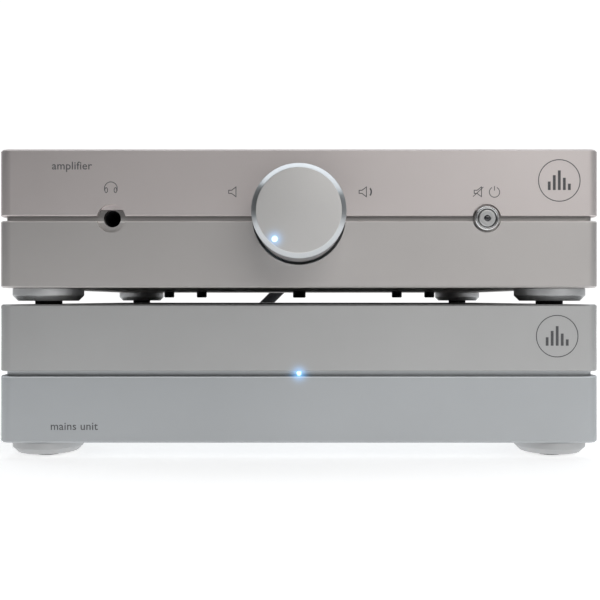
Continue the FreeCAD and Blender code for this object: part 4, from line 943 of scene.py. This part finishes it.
def volume_knob():
    """The knob: satin face, bright bevel, hollow back, and the hole for its light guide."""
    low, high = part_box("volume_knob")
    radius = span(low, high).x / 2
    reach = (FRONT_Y - low.y) / MM
    back = (FRONT_Y - high.y) / MM
    chamfer, rim, boss, bore = 1.8, 11, 6.5, 3.02
    profile = [
        (0, reach), (radius - chamfer, reach), (radius, reach - chamfer), (radius, back),
        (rim, back), (rim, back + 18), (boss, back + 18), (boss, back),
        (bore, back), (bore, back + 17), (0, back + 17),
    ]
    steps = 4
    face_end = 1 + steps
    bevel_end = face_end + 1 + steps

    def paint(number):
        return (number >= face_end) + (number >= bevel_end)

    mesh = bmesh.new()
    turn(mesh, soften(profile, 0.12, steps), KNOB_AXIS, FORWARD, 256, paint)
    knob = finish_mesh("knob", mesh)
    # The bevel's and the side's colours are painted reflection and painted shade.
    finishes = ("knob_face", "knob_bevel_painted_reflection", "knob_side_painted_shade")
    for finish in finishes:  # the cut keeps only the materials that are there
        knob.data.materials.append(FINISHES[finish])
    place = KNOB_LIGHT
    hole_start, hole_end = back - 1, reach + 1
    hole = bmesh.new()
    profile = [(0, hole_start), (1.02, hole_start), (1.02, hole_end), (0, hole_end)]
    turn(hole, profile, place, FORWARD, 48)
    drill(knob, hole)
    show("knob", knob, "volume_knob", "knob_silver", finishes, "volume_knob")
    dome = [(0, back), (1, back), (1, reach)]
    dome += [(0.9, reach + 0.12), (0.6, reach + 0.25), (0, reach + 0.32)]
    node = "knob_light_guide"
    lathe("knob_lamp", "volume_knob", "blue_light", "knob_light", node, dome, place, FORWARD, 48)


def mute_control():
    """The bright bezel, the button with its bevelled edge, and the dark lens in its middle."""
    place = BUTTON_AXIS
    silver = "button_silver"
    ring = [(3.55, -14), (4.6, -14), (4.6, 0.95), (4.25, 1.3), (3.8, 1.3), (3.55, 1.05)]
    ring = soften(ring, 0.08)
    lathe("button_bezel", "amplifier", silver, "bezel", "mute_bezel", ring, place, FORWARD, 128)
    cap = [
        (0, -9.6), (1.6, -9.6), (1.6, -4), (3.25, -4), (3.25, 1), (2.95, 1.3),
        (1.4, 1.3), (1.22, 1.12), (1.22, -0.2), (0, -0.2),
    ]
    cap = soften(cap, 0.06)
    lathe("button_cap", "mute_button", silver, "button", "mute_button", cap, place, FORWARD, 128)
    bulb = [(0, -0.15), (1.2, -0.15), (1.2, 0.95), (1, 1.12), (0.5, 1.22), (0, 1.25)]
    node = "mute_button_lens"
    lathe("button_lens", "mute_button", "lens_dark", "lens", node, bulb, place, FORWARD, 64)


def button_spring():
    """The button's return spring, a copy of its CAD node's mesh with the steel finish."""
    node = "mute_button_spring"
    coil = place_object("button_spring", nodes[node].data.copy())
    coil.data.materials.clear()
    show("button_spring", coil, "amplifier", "bright_steel", ["steel"], node)
    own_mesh(coil)


def power_lamp():
    """The small light in the power supply's groove."""
    low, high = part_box("power_light")
    tip = (FRONT_Y - low.y) / MM
    tail = (FRONT_Y - high.y) / MM
    profile = [(0, tail), (0.85, tail), (0.85, tip - 0.3), (0.65, tip - 0.1)]
    profile += [(0.3, tip), (0, tip + 0.02)]
    slot = "blue_light"
    node = "power_light"
    lathe("power_lamp", "power_supply", slot, "power_light", node, profile, PSU_LIGHT, FORWARD, 48)


# ---- Printed marks ----

INK = 0.02
CAPITAL_HEIGHT = 0.72


def arc(x, z, radius, start, end, count=24, tall=1.0):
    """Points along an arc, its angles in degrees from +x; tall stretches it upwards."""
    angles = [math.radians(start + (end - start) * step / count) for step in range(count + 1)]
    return [(x + radius * math.cos(a), z + radius * tall * math.sin(a)) for a in angles]


def speaker(shift):
    """A loudspeaker's outline."""
    upper = [(-1.65, 0.6), (-0.55, 0.6), (1.1, 1.85)]
    lower = [(x, -z) for x, z in reversed(upper)]
    return [(x + shift, z) for x, z in upper + lower + upper[:1]]


HEADPHONES = [
    arc(0, -0.35, 2.4, 180, 0),
    [(-2.4, -0.35), (-2.35, -1.3)], [(2.4, -0.35), (2.35, -1.3)],
    arc(-1.75, -1.05, 0.5, 0, 360, tall=1.9),
    arc(1.75, -1.05, 0.5, 0, 360, tall=1.9),
]
QUIET = [speaker(0.2)]
LOUD = [speaker(-0.9), arc(-0.2, 0, 2.1, -38, 38), arc(-0.2, 0, 2.35, -38, 38)]
MUTED = [speaker(0.2), [(-1.9, -1.8), (2, 1.8)]]
STANDBY = [arc(0, -0.1, 1.95, 118, 422), [(0, 0.5), (0, 2.2)]]


def strokes(mesh, paths, place, width, normal=FORWARD):
    """Adds thin flat strokes along paths of (x, z) points, on a face with that normal."""
    half = width / 2 * MM
    across = UP.cross(normal).normalized()
    upward = normal.cross(across)
    lift = normal * (INK * MM)
    for path in paths:
        points = [place + (across * x + upward * z) * MM for x, z in path]
        closed = (points[0] - points[-1]).length < 1e-9
        if closed:
            points = points[:-1]
        rows = []
        for index, point in enumerate(points):
            last = index == len(points) - 1
            before = points[index - 1] if index or closed else point
            after = points[(index + 1) % len(points)] if closed or not last else point
            into = (point - before).normalized()
            out = (after - point).normalized()
            ahead = (into + out).normalized()
            corner = max(0.45, ahead.dot(out if out.length else into))
            reach = normal.cross(ahead) * (half / corner)
            offsets = [lift * up + edge for edge in (-reach, reach) for up in (1, 0)]
            rows.append([mesh.verts.new(point + offset) for offset in offsets])
        for a, b in zip(rows, rows[1:] + rows[:1] if closed else rows[1:]):
            for i, j in ((0, 2), (2, 3), (3, 1), (1, 0)):
                mesh.faces.new((a[i], a[j], b[j], b[i]))
        if not closed:
            for row in (rows[0], rows[-1]):
                mesh.faces.new((row[0], row[2], row[3], row[1]))


def lettering(mesh, text, place, height):
    """Adds printed words on a front face; the place is their lower left corner."""
    curve = bpy.data.curves.new("lettering", "FONT")
    curve.body = text
    curve.size = height / CAPITAL_HEIGHT * MM
    curve.extrude = INK / 2 * MM
    curve.offset = 0.03 * MM
    curve.space_character = 1.04
    curve.resolution_u = 6
    data = curve_mesh(curve)
    data.transform(Matrix.Translation(place) @ Matrix.Rotation(math.pi / 2, 4, "X"))
    mesh.from_mesh(data)
    bpy.data.meshes.remove(data)


def front_mark(x, base, up):
    """A place on a front face, by millimetres from the middle and above the case's underside."""
    return Vector((x * MM, FRONT_Y, base + up * MM))


def emblem(mesh, place):
    """A plain round badge: a thin ring round five level bars."""
    strokes(mesh, [arc(0, 0, 7.85, 0, 360, 96)], place, 0.34)
    for bar, tall in enumerate((3.2, 5.6, 7.4, 4.6, 2.4)):
        x = (bar - 2) * 1.9
        strokes(mesh, [[(x, -3.6), (x, tall - 3.6)]], place, 1.05)


def front_marks():
    """The symbols round the controls, the badges and the names of the two cases."""
    marks = bmesh.new()
    strokes(marks, HEADPHONES, front_mark(-71.1, AMP_BASE, 37.9), 0.3)
    for paths, x in ((QUIET, -25.1), (LOUD, 25.3), (MUTED, 67.7), (STANDBY, 73.9)):
        strokes(marks, paths, front_mark(x, AMP_BASE, 36.2), 0.3)
    emblem(marks, front_mark(98.4, AMP_BASE, 40.5))
    lettering(marks, "amplifier", front_mark(-93.4, AMP_BASE, 44.7), 3)
    show("amplifier_marks", marks, "amplifier", "black_plastic", ["ink"])
    marks = bmesh.new()
    emblem(marks, front_mark(97.6, PSU_BASE, 40.4))
    lettering(marks, "mains unit", front_mark(-94, PSU_BASE, 5), 3)
    show("power_supply_marks", marks, "power_supply", "black_plastic", ["ink"])


def rear_marks():
    """Rings round the phono sockets, arrows for in and out, and the switch's two signs."""
    marks = bmesh.new()
    reach = span(*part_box("phono_input_left")).x / 2
    for label in PHONO:
        place = Vector((middle(label).x, PANEL_Y, AMP_SEAM))
        strokes(marks, [arc(0, 0, reach + 1.6, 0, 360, 72)], place, 0.3, BACKWARD)
    for side, arrow in (("input", 1), ("output", -1)):
        x = (middle(f"phono_{side}_left").x + middle(f"phono_{side}_right").x) / 2
        place = Vector((x, PANEL_Y, AMP_SEAM + 12.5 * MM))
        head = [(-1.3, 0.8 * arrow), (0, -0.9 * arrow), (1.3, 0.8 * arrow)]
        strokes(marks, [[(0, 2.4 * arrow), (0, -0.6 * arrow)], head], place, 0.45, BACKWARD)
    show("socket_marks", marks, "amplifier", "black_plastic", ["ink"])
    signs = bmesh.new()
    centre = middle("mains_rocker")
    for up, sign in ((5.6, [(0, -1.3), (0, 1.3)]), (-5.6, arc(0, 0, 1.35, 0, 360))):
        start = Vector((centre.x, PANEL_Y + 30 * MM, centre.z + up * MM))
        _, place, normal, _ = nodes["mains_rocker"].ray_cast(start, FORWARD)
        strokes(signs, [sign], place, 0.4, normal)
    show("rocker_signs", signs, "mains_rocker", "white_plastic", ["white_ink"])


# ---- Sockets on the back ----

PHONO = ("phono_input_left", "phono_input_right", "phono_output_left", "phono_output_right")


def phono_sockets():
    """Gold phono sockets with white and red insulators and gold contacts."""
    shell = [
        (0, -17), (3.9, -17), (3.9, -5.7), (5.6, -5.7, hexagon), (5.6, -3.5, hexagon),
        (3.9, -3.5), (3.9, -1.5), (5.6, -1.5), (5.6, -0.5), (5.2, 0.1),
        (4.15, 0.1), (4.15, 1), (3.95, 1.2), (3.95, 1.6), (4.15, 1.8), (4.15, 9.1),
        (3.95, 9.5), (3.6, 9.5), (3.3, 9.2), (3.3, -6), (0, -6),
    ]
    places = {label: centred(*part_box(label), y=BACK_Y) for label in PHONO}
    for label, place in places.items():
        name, slot = f"{label}_shell", "gold_plate"
        lathe(name, "amplifier", slot, "gold", label, shell, place, BACKWARD, 96, 0.07)
    steps = 3
    core = [(0, -6), (3.25, -6), (3.25, 8.5), (2.6, 8.5), (2.3, 8.1), (1.9, 8.1), (1.65, 7.8)]
    contact = (len(core) - 1) * (steps + 1)
    core = soften(core + [(1.65, -4), (0, -4)], 0.1, steps)
    for finish, side in (("white", "left"), ("red", "right")):
        mesh = bmesh.new()
        for label, place in places.items():
            if label.endswith(side):
                turn(mesh, core, place, BACKWARD, 96, lambda number: int(number >= contact))
        name, slot = f"phono_{finish}_cores", f"{finish}_plastic"
        show(name, mesh, "amplifier", slot, (finish, "gold"), "phono_insulators")


def link_socket(node, body):
    """A round metal socket with a knurled flange, for the lead's plug."""
    knurl = ridges(40, 0.03)
    shell = [
        (0, -14), (7, -14), (7, -1.5), (9, -1.5, knurl), (9, 0.2, knurl), (8.4, 0.7),
        (7, 0.7), (7, 1.6), (6.8, 1.8), (6.8, 2.4), (7, 2.6), (7, 4.7),
        (6.7, 5), (5.9, 5), (5.6, 4.7), (5.6, -9), (0, -9),
    ]
    place = centred(*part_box(node), y=BACK_Y)
    name, slot = f"{node}_shell", "bright_steel"
    lathe(name, body, slot, "nickel", node, shell, place, BACKWARD, 160, 0.08)


def mains_pins():
    """The inlet's pins with their shaped tips."""
    mesh = bmesh.new()
    tip, overlap, taper = 2.2 * MM, 0.4 * MM, 0.35 * MM
    for low, high in solids_of("mains_pins"):
        block(mesh, low, high - BACKWARD * tip, 0.2)
        nose_low = Vector((low.x + taper, high.y - tip - overlap, low.z + taper))
        nose_high = Vector((high.x - taper, high.y, high.z - taper))
        block(mesh, nose_low, nose_high, 0.45, 3)
    show("inlet_pins", mesh, "power_supply", "gold_plate", ["nickel"], "mains_pins")


def mains_fuse():
    """The glass fuse with its end caps and its wire."""
    node = "mains_fuse"
    low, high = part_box(node)
    radius = span(low, high).z / 2
    length = span(low, high).x
    place = centred(low, high, x=low.x)
    along = Vector((1, 0, 0))
    cap = 5.5
    start, end = cap - 1, length - cap + 1
    bore, glass = radius - 0.6, radius - 0.1
    ring = [(bore, start), (glass, start), (glass, end), (bore, end)]
    lathe("fuse_tube", "fuse_drawer", "fuse_glass", "glass", node, ring, place, along, 48, 0.05)
    caps = bmesh.new()
    shape = [(0, 0), (radius - 0.3, 0), (radius, 0.3)]
    shape += [(radius, cap), (radius - 0.15, cap), (0, cap)]
    for origin, sign in ((0, 1), (length, -1)):
        turn(caps, [(r, origin + sign * a) for r, a in shape], place, along, 48)
    wire = 0.12
    turn(caps, [(0, start), (wire, start), (wire, end), (0, end)], place, along, 12)
    show("fuse_caps", caps, "fuse_drawer", "bright_steel", ["steel"])


# ---- Inside the cases ----


def capacitors(node, name, body, finish):
    """Electrolytic cans: shrink sleeve, crimped neck, and the scored aluminium top."""
    steps = 2
    sleeve_corners = 9
    sleeve_end = 1 + sleeve_corners * (steps + 1)

    def can(radius, tall):
        neck, dish, vent = radius - 0.55, tall - 0.35, tall - 0.6
        profile = [
            (0, 0), (radius - 0.5, 0), (radius, 0.6), (radius, 2.2), (neck, 2.9), (neck, 3.4),
            (radius, 4.1), (radius, tall - 0.6), (radius - 0.6, tall), (radius - 1.6, tall),
            (radius - 1.9, dish), (0.9, dish), (0.6, vent), (0, vent),
        ]
        return soften(profile, 0.25, steps)

    def paint(number):
        return int(number >= sleeve_end)

    lathe_each(name, body, "black_plastic", [finish, "steel"], node, can, UP, 72, paint)


def legged_boxes(node, name, body, finish, legs, spread, bevel, along_y=False):
    """Moulded packages on metal legs, in one row below them or two along their sides."""
    mesh = bmesh.new()
    half = 0.3 * MM
    below = 2.2 * MM
    above = (1.8 if along_y else 0.3) * MM
    for low, high in solids_of(node):
        block(mesh, low, high, bevel)
        centre = (low + high) / 2
        rows = (low.y - 0.8 * MM, high.y + 0.8 * MM) if along_y else (centre.y,)
        for leg in range(legs):
            x = centre.x + (leg - (legs - 1) / 2) * spread * MM
            for y in rows:
                foot = Vector((x - half, y - half, low.z - below))
                head = Vector((x + half, y + half, low.z + above))
                block(mesh, foot, head, 0.08, 1, 1)
    show(name, mesh, body, "black_plastic", [finish, "steel"], node)


def ring_transformer():
    """Tape wound over the transformer's turns in radial ridges, and a smooth outer band."""
    node = "transformer"
    low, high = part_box(node)
    radius = span(low, high).x / 2
    tall = span(low, high).z
    eye, edge, turns = 14.0, 6.0, 90
    outer, inner = ridges(turns, 0.006), ridges(turns, 0.02)
    rounded = soften([(eye, 0), (radius, 0), (radius, tall), (eye, tall)], edge, 8)
    profile = [(r, along, outer if r > radius - 12 else inner) for r, along in rounded]
    place = centred(low, high, z=low.z)
    mesh = bmesh.new()
    turn(mesh, profile, place, UP, 540)
    band = ((0.02, 0.3), (0.12, 0.32), (0.12, 0.68), (0.02, 0.7))
    turn(mesh, [(radius + proud, tall * share) for proud, share in band], place, UP, 180)
    show("ring_transformer", mesh, "power_supply", "winding_amber", ["tape"], node)


# The CAD nodes that are shown as they are: their finish, their edges' bevel and their names.
DRESSED = (
    ("amp_cover", 0, ["amp_cover"]),
    ("amp_tray", 0, ["amp_tray"]),
    ("psu_cover", 0, ["psu_cover"]),
    ("psu_tray", 0, ["psu_tray"]),
    ("steel", 0, ["amp_case_screws", "psu_case_screws", "potentiometer_nut"]),
    ("steel", 0, ["volume_shaft", "transformer_clamp"]),
    ("nickel", 0, ["amp_board_pillars", "psu_board_pillars"]),
    ("panel", 0, ["amp_rear_panel", "psu_rear_panel"]),
    ("sink", 0, ["amp_heat_sink", "regulator_heat_sink"]),
    ("board", 0, ["amp_circuit_board", "psu_circuit_board", "amp_socket_board"]),
    ("black_screw", 0, ["knob_grub_screw"]),
    ("sink", 0.2, ["potentiometer_bracket"]),
    ("black", 0.1, ["headphone_socket"]),
    ("black", 0.2, ["volume_potentiometer", "mute_switch", "fuse_drawer"]),
    ("black", 0.3, ["mains_switch_frame"]),
    ("black", 0.35, ["mains_inlet"]),
    ("black_gloss", 0.35, ["mains_rocker"]),
)


make_camera()
braided_cord()
make_studio()
for unit, body in (("amp", "amplifier"), ("psu", "power_supply")):
    foot_set(unit, body)
    panel_screws(unit, body)
cap_screws()
volume_knob()
mute_control()
button_spring()
power_lamp()
front_marks()
rear_marks()
phono_sockets()
link_socket("dc_inlet", "amplifier")
link_socket("dc_outlet", "power_supply")
mains_pins()
mains_fuse()
capacitors("filter_capacitors", "filter_cans", "amplifier", "sleeve_blue")
capacitors("reservoir_capacitors", "reservoir_cans", "power_supply", "black_gloss")
legged_boxes("output_transistors", "power_transistors", "amplifier", "black", 3, 5.0, 0.35)
legged_boxes("voltage_regulators", "regulators", "power_supply", "black", 3, 2.5, 0.3)
legged_boxes("op_amps", "amplifier_chips", "amplifier", "black", 4, 2.54, 0.25, along_y=True)
legged_boxes("mute_relays", "relays", "amplifier", "relay_blue", 2, 12, 0.5)
ring_transformer()
for finish, bevel, names in DRESSED:
    for name in names:
        dress(name, finish, bevel)
